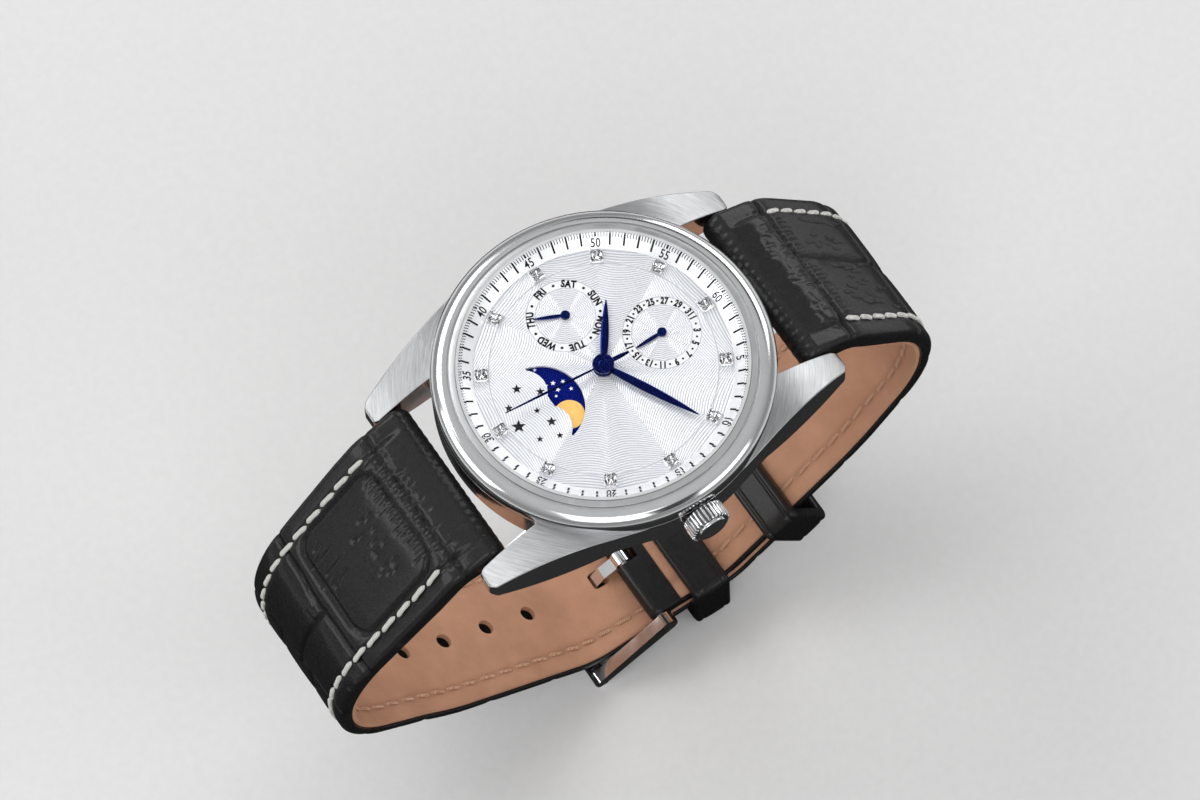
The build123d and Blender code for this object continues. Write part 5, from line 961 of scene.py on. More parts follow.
# %% Lettering and stars
def lettering(words, tall, thick, narrow=0.85, bold=0.035):
    """A word as a thin shape, centred, its letters so tall."""
    curve = bpy.data.curves.new("lettering", "FONT")
    curve.body = words
    curve.extrude = 0.5
    curve.offset = bold
    curve.space_character = 1.0 + bold * 2
    curve.resolution_u = 4
    holder = bpy.data.objects.new("lettering", curve)
    scene.collection.objects.link(holder)
    mesh = shape_now(holder)
    points = np.array([v.co for v in mesh.vertices])
    faces = [tuple(p.vertices) for p in mesh.polygons]
    bpy.data.objects.remove(holder)
    bpy.data.curves.remove(curve)
    bpy.data.meshes.remove(mesh)
    low, high = points.min(0), points.max(0)
    scale = tall / (high[1] - low[1])
    points = points - (low + high) / 2
    return points * (scale * narrow, scale, thick), faces


def star_shape(radius, thick, turn_by=0.0):
    """A five-pointed star as a thin shape."""
    tips = [clock(radius * (0.42 if k % 2 else 1), k * 36 + turn_by) for k in range(10)]
    return pressed(tips, -thick / 2, thick / 2)


# %% Day and date numbers
DAYS = ("SUN", "MON", "TUE", "WED", "THU", "FRI", "SAT")
INK_HEIGHT, PRINT_RING = 6.93, 4.05
printed = []


def print_at(shape, degrees, centre, upright=0.0):
    printed.append(moved(shape, at(*clock(PRINT_RING, degrees, centre), INK_HEIGHT, upright)))


for number, day in enumerate(DAYS):
    turned_by = number * 360 / 7
    print_at(lettering(day, 0.98, 0.02, 0.78, 0.05), turned_by, day_at, turned_by)
    print_at(disc(0.17, -0.01, 0.01, 20), turned_by + 180 / 7, day_at)
for number in range(1, 32):
    turned_by = (number - 0.5) * 360 / 31
    if number % 2:
        print_at(lettering(str(number), 0.92, 0.02, 0.74, 0.05), turned_by, date_at, turned_by)
    else:
        print_at(disc(0.13, -0.01, 0.01, 20), turned_by, date_at)
make_piece("day_and_date_print", join_shapes(*printed), "case", "dial_ink")
print("printed marks on the small dials:", len(printed))

# %% Stars and thin lines
STARS = (
    (-3.41, -9.65, 0.6), (-1.63, -7.58, 0.55), (-1.92, -11.69, 0.5), (0.14, -9.18, 0.4),
    (0.63, -11.99, 0.85), (2.21, -8.55, 0.62), (3.28, -10.84, 0.42), (4.17, -8.70, 0.42),
)
stars = [moved(star_shape(r, 0.03), at(x, y, 7.01, 12)) for x, y, r in STARS]
make_piece("dial_stars", join_shapes(*stars), "case", "dial_ink")
lines_drawn = [flat_ring(13.12, 13.28, 6.99, 7.015, 240)]
for centre in (day_at, date_at):
    for inner in (3.44, 4.47):
        lines_drawn.append(moved(flat_ring(inner, inner + 0.10, 6.91, 6.935), at(*centre)))
make_piece("dial_lines", join_shapes(*lines_drawn), "case", "dial_line")
print("stars:", len(stars), "lines:", len(lines_drawn))

# %% [markdown]
# ## The minute track
# A sloped ring stands round the dial and carries the minutes: sixty bold marks, four fine ones
# between each two, and a number every five. Marks are thin bars that lie on the slope. One small
# rule gives any place on the slope from a clock angle and a distance up it, so marks and numbers
# use the same frame.

# %% The sloped ring and its marks
RING_INSIDE, RING_FOOT, RING_RUN, RING_RISE = 15.0, 7.12, 1.7, 1.08
ring_profile = [(RING_INSIDE, 7.02), (16.9, 7.02), (16.9, 8.2), (16.7, 8.2), (RING_INSIDE, RING_FOOT)]
ring_shape = lathe(eased(ring_profile, 0.04, 3), 320)
make_piece("minute_ring", ring_shape, "case", "dial_silver", ["chapter_ring"])
slope_lean = math.atan2(RING_RISE, RING_RUN)


def on_slope(degrees, distance):
    """A frame on the slope: X along the ring, Y up the slope, Z out of it."""
    radius = RING_INSIDE + distance * math.cos(slope_lean)
    height = RING_FOOT + distance * math.sin(slope_lean) + 0.004
    tilt = Matrix.Rotation(slope_lean, 4, "X")
    return Matrix.Rotation(-math.radians(degrees), 4, "Z") @ Matrix.Translation((0, radius, height)) @ tilt


def bar(width, low, high, thick):
    return pressed(box_outline(-width / 2, width / 2, low, high), -thick / 2, thick / 2)


MARK_MIDDLE, MARK_END = 1.2, 1.90
marks = []
for minute in range(60):
    start = 1.50 if minute % 5 == 0 else 0.50
    for width, foot, turned_by in [(0.23, start, 0)] + [(0.10, 1.44, k * 1.2) for k in range(1, 5)]:
        mark = bar(width, foot - MARK_MIDDLE, MARK_END - MARK_MIDDLE, 0.03)
        marks.append(moved(mark, on_slope(minute * 6 + turned_by, MARK_MIDDLE)))
for number in range(5, 65, 5):
    marks.append(moved(lettering(str(number), 1.10, 0.03, 0.78, 0.014), on_slope(number * 6, 0.80)))
make_piece("minute_marks", join_shapes(*marks), "case", "dial_ink")
print("marks and numbers on the ring:", len(marks))

# %% [markdown]
# ## Stones
# Twelve square stones mark the hours. Each is cut with a flat table, a belt of small facets round
# it and a point below, which throws light back. The metal seat under the stone matters as much: its
# pit is lined with bright foil, and four little claws hold the corners. Flat facets must stay flat,
# so stones and foil are never smoothed.

# %% Cut stones and their claws
def square_ring(reach, corner, z, lean=0.0):
    """Eight places round a square with cut corners, turned a little where facets meet askew."""
    places = []
    for k in range(4):
        for px, py in ((reach, -reach + corner), (reach, reach - corner)):
            a = math.radians(90 * k + lean)
            places.append((px * math.cos(a) - py * math.sin(a), px * math.sin(a) + py * math.cos(a), z))
    return places


def faceted(foot, *layers):
    """Rings of eight joined by triangles, with a point below and a flat face above."""
    points = [p for layer in layers for p in square_ring(*layer)] + [(0, 0, foot)]
    faces = []
    for level in range(len(layers) - 1):
        for k in range(8):
            a, b = level * 8 + k, level * 8 + (k + 1) % 8
            faces += [(a, b, b + 8), (a, b + 8, a + 8)]
    faces += [(k, (k + 1) % 8, len(points) - 1) for k in range(8)]
    faces.append(tuple(range(len(points) - 9, len(points) - 1)))
    return np.array(points, float), faces


point_belts = (0.40, 0.14, 7.20, 22.5), (0.69, 0.16, 7.42), (0.70, 0.16, 7.50)
one_stone = faceted(7.07, *point_belts, (0.58, 0.12, 7.68, 12), (0.40, 0.06, 7.82))
pit_belts = (0.41, 0.14, 7.185, 22.5), (0.70, 0.16, 7.405)
one_foil = faceted(7.05, *pit_belts, (0.75, 0.10, 7.36), (0.75, 0.10, 7.02))
claw = turned_solid([(0, 7.02), (0.13, 7.02), (0.13, 7.60), (0.11, 7.67), (0.06, 7.71), (0, 7.72)], 16)
four_claws = join_shapes(*[moved(claw, at(x, y)) for x in (-0.67, 0.67) for y in (-0.67, 0.67)])
hours = [at(*clock(14.0, hour * 30), 0, hour * 30) for hour in range(12)]


def at_each_hour(shape):
    return join_shapes(*[moved(shape, place) for place in hours])


stones = make_piece("stones", at_each_hour(one_stone), "case", "stone_clear", ["hour_stones"], crisp=1)
stones.data.shade_flat()
stones.visible_shadow = False
all_foils = at_each_hour(one_foil)
foils = make_piece("stone_foils", all_foils, "case", "foil_silver", crisp=1)
foils.data.shade_flat()
make_piece("stone_claws", at_each_hour(four_claws), "case", "steel_polished", ["stone_settings"])
print("stones:", len(hours))

# %% [markdown]
# ## Hands
# The hands are leaf shaped, domed along their length and blued. A flat strip would look like
# paper, so each blade here is a row of low, rounded sections between two arcs. The boss in the
# middle is turned, and the seconds hand has a cap with a ring and a pin.

# %% A leaf-shaped blade
BLADE_TIP, BOSS_RADIUS = 0.12, 1.25
HOUR_LEVEL, MINUTE_LEVEL, SECONDS_LEVEL, SMALL_LEVEL = 7.36, 7.71, 8.06, 7.08
HALF_SECTION = ((1, 0.0), (1, 0.45), (0.82, 0.74), (0.5, 0.92))
BLADE_SECTION = [(-x, z) for x, z in HALF_SECTION] + [(0, 1.0)] + list(HALF_SECTION[::-1])


def leaf_blade(length, width, low, thick, tip=BLADE_TIP, tail=0.0):
    """A domed blade along +Y between two arcs. Its underside is flat."""
    edge = bend_arc((width / 4, -tail), (width / 2, length * 0.42), (tip / 2, length), 40)
    return skinned([[(x * part, y, low + thick * up) for part, up in BLADE_SECTION] for x, y in edge])


def pointing(shape, degrees, centre=(0.0, 0.0)):
    return moved(shape, at(*centre, 0, degrees))


def boss(low):
    return disc(BOSS_RADIUS, low, low + 0.15, 72, 0.07)


hour_shape = join_shapes(leaf_blade(8.4, 0.94, HOUR_LEVEL, 0.15), boss(HOUR_LEVEL))
minute_shape = join_shapes(leaf_blade(12.5, 1.02, MINUTE_LEVEL, 0.15), boss(MINUTE_LEVEL))
cap_side = [(0, SECONDS_LEVEL), (BOSS_RADIUS, SECONDS_LEVEL), (BOSS_RADIUS, 8.40), (1.09, 8.56)]
cap_top = [(0.72, 8.56), (0.68, 8.50), (0.52, 8.50), (0.46, 8.54), (0.42, 8.56), (0, 8.56)]
cap = turned_solid(cap_side + cap_top, 96, 0.03, 3)
tail_piece = pointing(leaf_blade(3.3, 0.54, SECONDS_LEVEL, 0.12, tip=0.27), 180)
seconds_shape = join_shapes(leaf_blade(12.6, 0.30, SECONDS_LEVEL, 0.12), tail_piece, cap)


def small_hand(length):
    side = [(0, SMALL_LEVEL), (0.55, SMALL_LEVEL), (0.55, 7.24), (0.47, 7.30)]
    hub = turned_solid(side + [(0.22, 7.30), (0.18, 7.27), (0.0, 7.27)], 48, 0.03, 3)
    return join_shapes(leaf_blade(length, 0.46, SMALL_LEVEL, 0.12, tail=0.3), hub)


for name, shape, degrees, centre in (
    ("hour", hour_shape, 305.3, (0.0, 0.0)),
    ("minute", minute_shape, 63.1, (0.0, 0.0)),
    ("seconds", seconds_shape, 185.5, (0.0, 0.0)),
    ("day", small_hand(3.7), 205.7, day_at),
    ("date", small_hand(3.6), 180.0, date_at),
):
    make_piece(name + "_hand_blade", pointing(shape, degrees, centre), name, "hand_blue", [name + "_hand"])
print("hands: 5")

# %% [markdown]
# ## The moon disc
# Under its window turns a blue disc with two gold moons, one for each half turn, and a scatter of
# white stars. The disc itself is the plain solid with its fifty-nine teeth. Moons and stars are laid
# on it like enamel, thinner than a hair, and ride with it.

# %% Moons and stars on the disc
DISC_TOP, MOON_ORBIT = 6.429, 3.4
moon_places = [clock(MOON_ORBIT, turned_by, moon_at) for turned_by in (44.6, 224.6)]
one_moon = disc(1.8, DISC_TOP - 0.02, DISC_TOP + 0.02, 72, 0.02, 2)
moons = [moved(one_moon, at(*place)) for place in moon_places]
make_piece("gold_moons", join_shapes(*moons), "moon", "moon_gold")
random.seed(7)
sky_stars = []
while len(sky_stars) < 34:
    place = clock(random.uniform(0.8, 5.0), random.uniform(0, 360), moon_at)
    from_moons = min(math.dist(place, moon) for moon in moon_places)
    apart = min([math.dist(place, other) for other, _ in sky_stars] or [9])
    if from_moons > 2.15 and apart > 0.75:
        sky_stars.append((place, random.uniform(0.20, 0.36)))
star_shapes = []
for place, size in sky_stars:
    star_shapes.append(moved(star_shape(size, 0.03, random.uniform(0, 72)), at(*place, DISC_TOP + 0.004)))
make_piece("disc_stars", join_shapes(*star_shapes), "moon", "star_white")
print("stars on the disc:", len(sky_stars))

# %% [markdown]
# ## The crown
# The crown is a small knob with grooves for the fingertips. Its section is a circle with a row of
# narrow, straight grooves whose floors are painted darker, as painted shade, and both rims are eased
# so that it doesn't bite. A lathe can't cut grooves, so the radius here follows a rule of the angle.
# A polished disc closes the end.

# %% The fluted crown
FLUTES, PER_FLUTE = 30, 20
around = FLUTES * PER_FLUTE
flute_angles = np.linspace(0, 2 * math.pi, around, endpoint=False)
phase = (flute_angles * FLUTES / (2 * math.pi)) % 1.0
notch = np.clip((0.31 - np.abs(phase - 0.5)) / 0.13, 0, 1) * 0.17


def crown_row(x, reach, deep=0.0):
    """One ring of the knob: its place along the stem, its radius, and how deep the grooves are."""
    radius = reach - notch * deep
    y, z = radius * np.cos(flute_angles), CROWN_Z + radius * np.sin(flute_angles)
    return np.stack([np.full(around, x), y, z], -1)


GROOVED = (
    (20.27, 1.45, 0), (20.27, 2.40, 0), (20.28, 2.46, 0.8),
    (20.31, 2.52, 1), (20.36, 2.55, 1), (21.2, 2.55, 1),
    (22.10, 2.55, 1), (22.22, 2.48, 1), (22.28, 2.38, 1), (22.30, 2.30, 0.8), (22.30, 2.12, 0),
)
END_DISC = ((22.30, 1.9), (22.46, 1.9), (22.55, 1.86), (22.60, 1.76), (22.60, 0.9), (22.60, 0.02))
crown_rows = [crown_row(*row) for row in GROOVED + END_DISC + ((21.62, 0.02), (21.62, 1.45))]
crown_faces = grid_faces(len(crown_rows), around, round_rows=True, round_columns=True)
crown_shape = np.vstack(crown_rows), crown_faces
knob = make_piece("crown_knob", crown_shape, "crown", "case_side", ["crown"], crisp=30)
# Painted shade: faces on the floors of the grooves get the dark steel.
knob.data.materials.append(FINISHES["crown_groove_painted_shade"])
for number, face in enumerate(knob.data.polygons[: (len(GROOVED) - 1) * around]):
    row, column = divmod(number, around)
    from_groove = abs((column + 0.5) / PER_FLUTE % 1.0 - 0.5)
    face.material_index = 1 if from_groove < 0.22 and 2 <= row < len(GROOVED) - 2 else 0
print("crown flutes:", FLUTES)

# %% [markdown]
# ## The strap's path
# A strap half is a long band that leaves the spring bar, falls beside the wrist and comes up to the
# buckle. Its inner face is a chain of straight runs with rounded corners. Each inner place has an
# outer partner, and the distance between them is the thickness: full at the lugs, thin at the
# buckle. Both chains are divided alike, so a place on the strap needs only three numbers: how far
# along, how far across, and how far out.

# %% Rounded runs
def rounded_corners(corners, arcs):
    """For each inner corner of a chain: where its arc starts, its centre, first angle, turn and radius."""
    found = []
    for before, here, after, radius in zip(corners, corners[1:], corners[2:], arcs):
        before, here, after = Vector(before), Vector(here), Vector(after)
        way_in, way_out = (here - before).normalized(), (after - here).normalized()
        angle = way_in.angle(way_out)
        side = 1 if way_in.x * way_out.y - way_in.y * way_out.x > 0 else -1
        start = here - way_in * (radius * math.tan(angle / 2))
        middle = start + Vector((-way_in.y, way_in.x)) * side * radius
        first = math.atan2(start.y - middle.y, start.x - middle.x)
        found.append((start, middle, first, side * angle, radius))
    return found


def matched_runs(inner_corners, inner_arcs, outer_corners, outer_arcs, spacing=0.27):
    """Inner and outer places, divided alike."""
    runs = [rounded_corners(inner_corners, inner_arcs), rounded_corners(outer_corners, outer_arcs)]
    chains = [[Vector(inner_corners[0])], [Vector(outer_corners[0])]]
    for k in range(len(runs[0]) + 1):
        last = k == len(runs[0])
        targets = [Vector(c[-1]) for c in (inner_corners, outer_corners)] if last else [r[k][0] for r in runs]
        longest = max((target - chain[-1]).length for target, chain in zip(targets, chains))
        steps = max(1, round(longest / spacing))
        for chain, target in zip(chains, targets):
            start = chain[-1].copy()
            chain.extend(start.lerp(target, s / steps) for s in range(1, steps + 1))
        if last:
            break
        steps = max(3, round(max(abs(r[k][3]) * r[k][4] for r in runs) / spacing))
        for chain, r in zip(chains, runs):
            _, middle, first, angle, radius = r[k]
            for s in range(1, steps + 1):
                a = first + angle * s / steps
                chain.append(middle + radius * Vector((math.cos(a), math.sin(a))))
    return [np.array([tuple(p) for p in chain]) for chain in chains]


def shifted(corners, depths, side):
    """Corners moved outwards, each by its own depth."""
    ways = [(Vector(b) - Vector(a)).normalized() for a, b in zip(corners, corners[1:])]
    result = []
    for k, corner in enumerate(corners):
        before, after = ways[max(k - 1, 0)], ways[min(k, len(ways) - 1)]
        normal = Vector((-(before.y + after.y), before.x + after.x)) * side
        result.append(tuple(Vector(corner) + normal * depths[k] / (1 + before.dot(after))))
    return result


# %% Corners of both halves, from the spring bar to the buckle or the tip
STRAP_UNDERSIDE, FOOT_Z, DOUBLED, TIP_RUN = -0.85, -50.0, 2.9, 17.0
slope_foot, slope_top = (10.0, FOOT_Z), (28.6, -36.4)
slope_way = Vector((slope_top[0] - slope_foot[0], slope_top[1] - slope_foot[1])).normalized()
lean = math.atan2(slope_way.y, slope_way.x)
outer_foot_z = FOOT_Z - DOUBLED
tip_place = (
    slope_foot[0] + TIP_RUN * slope_way.x + DOUBLED * slope_way.y,
    slope_foot[1] + TIP_RUN * slope_way.y - DOUBLED * slope_way.x,
)
upper_corners = [(BAR_Y, STRAP_UNDERSIDE), (26.0, STRAP_UNDERSIDE), (37.1, -13.5), (37.1, -24.6)]
upper_corners += [slope_top, slope_foot, (0.3, FOOT_Z)]
upper_depths = [4.4, 3.6, 2.8, 2.6, 2.6, 2.6, 2.6]
upper_arcs = [4.0, 15.0, 15.0, 20.0, 3.0]
lower_corners = [(-BAR_Y, STRAP_UNDERSIDE), (-25.8, STRAP_UNDERSIDE), (-41.9, -14.6), (-41.9, -27.7)]
lower_corners += [(-28.2, -40.5), (-9.0, outer_foot_z)]
lower_corners += [(slope_foot[0] + DOUBLED * math.tan(lean / 2), outer_foot_z), tip_place]
lower_depths = [4.4, 3.6, 2.6, 2.2, 2.2, 2.2, 2.2, 2.2]
lower_arcs = [4.0, 13.5, 13.5, 30.0, 8.0, 5.9]

# %% Both halves of the strap
LUG_END_HALF, BUCKLE_END_HALF, TIP_HALF, TIP_LONG = 10.8, 9.0, 2.5, 7.0


def half_width(y, z, tip_y=None):
    """Half the strap's width: it narrows from the lugs to the buckle, and to a point at the tip."""
    share = min(1.0, max(0.0, (-1.0 - z) / 37.0))
    wide = LUG_END_HALF + (BUCKLE_END_HALF - LUG_END_HALF) * share
    if tip_y is not None and z < -30 and y > tip_y - TIP_LONG:
        tapered = (TIP_HALF - BUCKLE_END_HALF) * (y - tip_y + TIP_LONG) / TIP_LONG
        wide = min(wide, BUCKLE_END_HALF + tapered)
    return wide


def run_along(places):
    """How far along a chain each of its places is."""
    return np.concatenate([[0], np.cumsum(np.linalg.norm(np.diff(places, axis=0), axis=1))])


def padding(thick):
    """How much of the full padding a place with this thickness has."""
    return np.clip((thick - 2.0) / 2.0, 0.12, 1.0)


class StrapHalf:
    """Matched inner and outer places of one half, its widths, and how far along each place is."""

    def __init__(self, corners, depths, arcs, side, tip_y=None):
        outer_arcs = [arc + depth for arc, depth in zip(arcs, depths[1:])]
        self.inner, outer = matched_runs(corners, arcs, shifted(corners, depths, side), outer_arcs)
        self.out = outer - self.inner
        self.thick = np.linalg.norm(self.out, axis=1)
        self.out = self.out / self.thick[:, None]
        self.along = run_along(outer)
        self.width = np.array([half_width(y, z, tip_y) for y, z in outer])

    def read(self, along, values):
        return np.interp(along, self.along, values)

    def place(self, along, across, depth):
        """A point in space. Depth is measured outwards from the inner face."""
        y, z = (self.read(along, self.inner[:, k]) + self.read(along, self.out[:, k]) * depth for k in (0, 1))
        return Vector((across, y, z))


upper = StrapHalf(upper_corners, upper_depths, upper_arcs, 1)
lower = StrapHalf(lower_corners, lower_depths, lower_arcs, -1, tip_place[0] + 2.2 * slope_way.y)
print("strap lengths in mm:", round(upper.along[-1], 1), round(lower.along[-1], 1))

# %% [markdown]
# ## Scales pressed in the leather
# The press leaves large scales near the lugs with deep, rounded grooves round them, and rows of
# smaller ones further down. Grooves are lines on the strap seen flat. For each point of the mesh the
# distance to the nearest line says how deep it lies, with a soft shoulder on each side. Short
# creases run square to the grooves, as they do where skin folds.

# %% Groove lines of each half
def along_line(points_x, points_s, lines, width, depth):
    """How deep each point lies below the surface because of some lines."""
    deep = np.zeros_like(points_x)
    for line in lines:
        for (x0, s0), (x1, s1) in zip(line, line[1:]):
            dx, ds = x1 - x0, s1 - s0
            share = np.clip(((points_x - x0) * dx + (points_s - s0) * ds) / (dx * dx + ds * ds), 0, 1)
            away_by = np.hypot(points_x - x0 - share * dx, points_s - s0 - share * ds)
            deep = np.maximum(deep, depth * np.exp(-((away_by / width) ** 2)))
    return deep


def wavy_line(x0, s0, x1, s1, swing, seed, steps=14):
    """A line with a natural waver."""
    chance = random.Random(seed)
    raw = [chance.uniform(-1, 1) for _ in range(steps + 1)]
    near = [(max(k - 1, 0), k, min(k + 1, steps)) for k in range(steps + 1)]
    calm = [0.25 * raw[before] + 0.5 * raw[here] + 0.25 * raw[after] for before, here, after in near]
    length = math.hypot(x1 - x0, s1 - s0)
    nx, ns = -(s1 - s0) / length, (x1 - x0) / length
    places = []
    for k, shift in enumerate(calm):
        x, s = x0 + (x1 - x0) * k / steps, s0 + (s1 - s0) * k / steps
        places.append((x + nx * swing * shift, s + ns * swing * shift))
    return places


def round_corner(x, s, radius, first, angles):
    """Places along a quarter circle that starts at an angle."""
    turns = [math.radians(first + a) for a in angles]
    return [(x + radius * math.cos(a), s + radius * math.sin(a)) for a in turns]


def four_corners(left, right, low, high, radius, angles):
    """A box outline with round corners, from the upper right one anticlockwise."""
    places = []
    for number, x, y in ((0, right, high), (1, left, high), (2, left, low), (3, right, low)):
        middle = x + (radius if x == left else -radius), y + (radius if y == low else -radius)
        places += round_corner(*middle, radius, 90 * number, angles)
    return places


def rounded_box(left, right, start, end, corner, seed):
    """The groove round one large scale."""
    chance = random.Random(seed)
    places = four_corners(left, right, start, end, corner, (0, 30, 60, 90))
    places = [(x + chance.uniform(-0.12, 0.12), s + chance.uniform(-0.12, 0.12)) for x, s in places]
    return places + places[:1]


def creases(left, right, start, end, number, long, seed, lengthwise=True):
    """Short folds scattered over an area."""
    chance = random.Random(seed)
    lines = []
    for _ in range(number):
        x, s, size = chance.uniform(left, right), chance.uniform(start, end), chance.uniform(0.4, 1.0) * long
        lean_by = chance.uniform(-0.25, 0.25)
        dx, ds = (size * lean_by, size) if lengthwise else (size, size * lean_by)
        lines.append([(x, s), (x + dx / 2 + chance.uniform(-0.1, 0.1), s + ds / 2), (x + dx, s + ds)])
    return lines


def stroke_row(left, right, s, step, long, seed):
    """A row of short folds side by side, like the ones where a scale's edge was pressed."""
    chance = random.Random(seed)
    lines, x = [], left
    while x < right:
        start, size = s + chance.uniform(-0.25, 0.25), long * chance.uniform(0.6, 1.1)
        lean_by = chance.uniform(-0.15, 0.15)
        lines.append([(x + lean_by * size * t, start + size * t) for t in (0, 0.5, 1)])
        x += step * chance.uniform(0.7, 1.3)
    return lines


def later_rows(start, end, row, seed):
    """Rows of scales for the rest of a half: a groove across every row, and one or two along."""
    chance = random.Random(seed)
    lines, s, two = [], start, True
    while s < end - row * 0.5:
        middle = chance.uniform(-1.5, 1.5)
        for x in ((middle,) if two else (-3.4, 3.2)):
            lines.append(wavy_line(x, s, x + chance.uniform(-0.6, 0.6), s + row, 0.3, chance.random()))
        s += row * chance.uniform(0.9, 1.1)
        lines.append(wavy_line(-12, s, 12, s + chance.uniform(-0.8, 0.8), 0.35, chance.random()))
        two = not two
    return lines


lower_grooves = [
    rounded_box(-7.3, 7.3, 6.1, 20.2, 2.3, 3),
    wavy_line(-12, 22.0, 12, 22.6, 0.3, 4),
    wavy_line(-12, 3.9, 12, 3.9, 0.35, 5),
    *later_rows(22.3, lower.along[-1], 11.0, 6),
]
upper_grooves = [
    wavy_line(-12, 5.6, 12, 5.4, 0.3, 8),
    wavy_line(-1.4, 5.6, -0.6, 21.0, 0.45, 9),
    wavy_line(-12, 21.0, 12, 21.4, 0.3, 10),
    *later_rows(21.2, upper.along[-1], 11.0, 11),
]
lower_creases = [
    *stroke_row(-5.6, 5.8, 6.3, 0.55, 1.7, 12),
    *stroke_row(-7.0, 7.0, 4.4, 0.5, 1.4, 13),
    *creases(-9, 9, 2.4, 6.0, 60, 1.1, 14),
    *creases(-8, 8, 2.6, 5.8, 30, 1.5, 20, False),
    *creases(-3, 5, 9.0, 13.0, 16, 0.9, 21),
    *creases(-5.5, 0.0, 16.0, 18.6, 9, 3.0, 22),
    *creases(-10, 10, 22, 110, 130, 2.0, 15, False),
]
upper_creases = [
    *stroke_row(-8, 8, 6.0, 0.6, 1.8, 16),
    *creases(-9, 9, 2.4, 5.4, 60, 1.2, 18),
    *creases(-8, 8, 2.6, 5.0, 30, 1.5, 23, False),
    *creases(-7, 7, 9, 19, 40, 2.4, 17),
    *creases(-10, 10, 21, 90, 110, 2.0, 19, False),
]
print("groove lines:", len(lower_grooves), len(upper_grooves))
print("creases:", len(lower_creases), len(upper_creases))

# %% [markdown]
# ## Outer leather
# The leather is one closed skin: outer face, edges, inner face, and the roll round the spring bar.
# Across the strap the face is highest in the middle, sinks into a channel where the stitching
# runs, and ends in a rounded, painted edge. The skin is a grid, so each row is one place along the
# strap and each column one line across.

# %% The leather skin
STITCH_LINE, LEATHER_EDGE, LEATHER_COLUMNS = 8.3, 0.8, 140
LINING_THICK, LINING_FROM, LINING_STOPS = 0.72, 1.4, {"12": 3.0, "6": 1.75}


def laid(x, inner, out, depth):
    """Rows of points across a strap, lifted outwards from its inner face by a depth."""
    y, z = (inner[:, k:k + 1] + out[:, k:k + 1] * depth for k in (0, 1))
    return np.stack(np.broadcast_arrays(x, y, z), -1)


def roll(centre, radius, turn_by, x_row, drops, steps):
    """Rows of points that roll round a bar, from straight below it."""
    rows = []
    for a in np.linspace(0, turn_by, steps + 2)[1:-1] - math.pi / 2:
        reach = radius - drops
        rows.append(np.stack([x_row, centre[0] + reach * math.cos(a), centre[1] + reach * math.sin(a)], -1))
    return rows


def leather_skin(half, grooves, fold_lines, side, lining_stop, loop_at_end):
    """The closed skin of one half, and how deep each of its points lies."""
    inset = LEATHER_EDGE * (1 - np.cos(np.linspace(0, math.pi / 2, 7)))[:-1]
    edge = LEATHER_EDGE - np.sqrt(np.clip(LEATHER_EDGE**2 - (LEATHER_EDGE - inset) ** 2, 0, None))
    edge_drop = np.concatenate([edge, np.zeros(LEATHER_COLUMNS), edge[::-1]])
    x_rows = []
    for width in half.width:
        middle = np.linspace(-1, 1, LEATHER_COLUMNS) * max(width - LEATHER_EDGE, 0.5)
        x_rows.append(np.concatenate([inset - width, middle, width - inset[::-1]]))
    x = np.array(x_rows)
    count, columns = x.shape

    along = np.repeat(half.along[:, None], columns, axis=1)
    thick = half.thick[:, None]
    from_stitches = np.abs(x) - (half.width[:, None] - LUG_END_HALF) - STITCH_LINE
    beyond = np.clip((from_stitches + 0.5) / 0.9, 0, 1)
    flange = 0.50 * padding(thick) * (3 * beyond**2 - 2 * beyond**3)
    channel = 0.16 * np.exp(-((from_stitches / 0.45) ** 2))
    shoulder = along_line(x, along, grooves, 1.5, 0.16) * padding(thick) ** 0.5
    groove = along_line(x, along, grooves, 0.32, 0.30)
    folds = along_line(x, along, fold_lines, 0.15, 0.12)
    sink = (flange + channel + shoulder) * np.clip(along / 3.0, 0, 1)
    sink = sink + groove * np.clip(along / 2, 0, 1) + folds + edge_drop
    outer = laid(x, half.inner, half.out, thick - np.minimum(sink, (thick - LINING_THICK) * 0.9))

    run = run_along(half.inner)
    lined = (run > LINING_FROM) & (run < run[-1] - lining_stop)
    inner = laid(x, half.inner, half.out, np.where(lined, LINING_THICK, 0.0)[:, None] + edge_drop * 0.15)
    wrinkled = edge_drop * 0.8 + 0.05 * np.sin(np.linspace(0, 60, columns)) ** 2
    bar_rows = roll((side * BAR_Y, BAR_Z), 2.2, -math.pi * side, x[0], wrinkled, 14)
    end_rows = roll((0.3, -51.3), 1.3, -math.pi, x[-1], edge_drop * 0.6, 12) if loop_at_end else []
    rows = [*outer, *end_rows, *inner[::-1], *bar_rows]
    faces = grid_faces(len(rows), columns, round_rows=True)
    back = count + len(end_rows)
    for column in (0, columns - 1):
        ring = [r * columns + column for r in range(len(rows))]
        outer_ids, back_ids = ring[:count], ring[back:back + count][::-1]
        for k in range(count - 1):
            faces.append((outer_ids[k], outer_ids[k + 1], back_ids[k + 1], back_ids[k]))
        if end_rows:
            faces.append(tuple(ring[count - 1:back + 1]))
        faces.append(tuple(ring[back + count - 1:] + ring[:1]))
    sunk = np.zeros((len(rows), columns))
    sunk[:count] = np.clip(groove / 0.30, 0, 1) ** 2 * 0.8
    return (np.array(rows).reshape(-1, 3), faces), sunk.ravel()


HALVES = {"12": upper, "6": lower}
SCALES = {"12": (upper_grooves, upper_creases, 1), "6": (lower_grooves, lower_creases, -1)}
leather = {}
for label, (grooves, fold_lines, side) in SCALES.items():
    skin, sunk = leather_skin(HALVES[label], grooves, fold_lines, side, LINING_STOPS[label], label == "12")
    name, stands_for = f"strap_{label}_skin", [f"strap_{label}_leather"]
    leather[label] = make_piece(name, skin, "case", "strap_leather", stands_for, cut=sunk, crisp=50)
    print("leather points on half", label, ":", len(skin[0]))

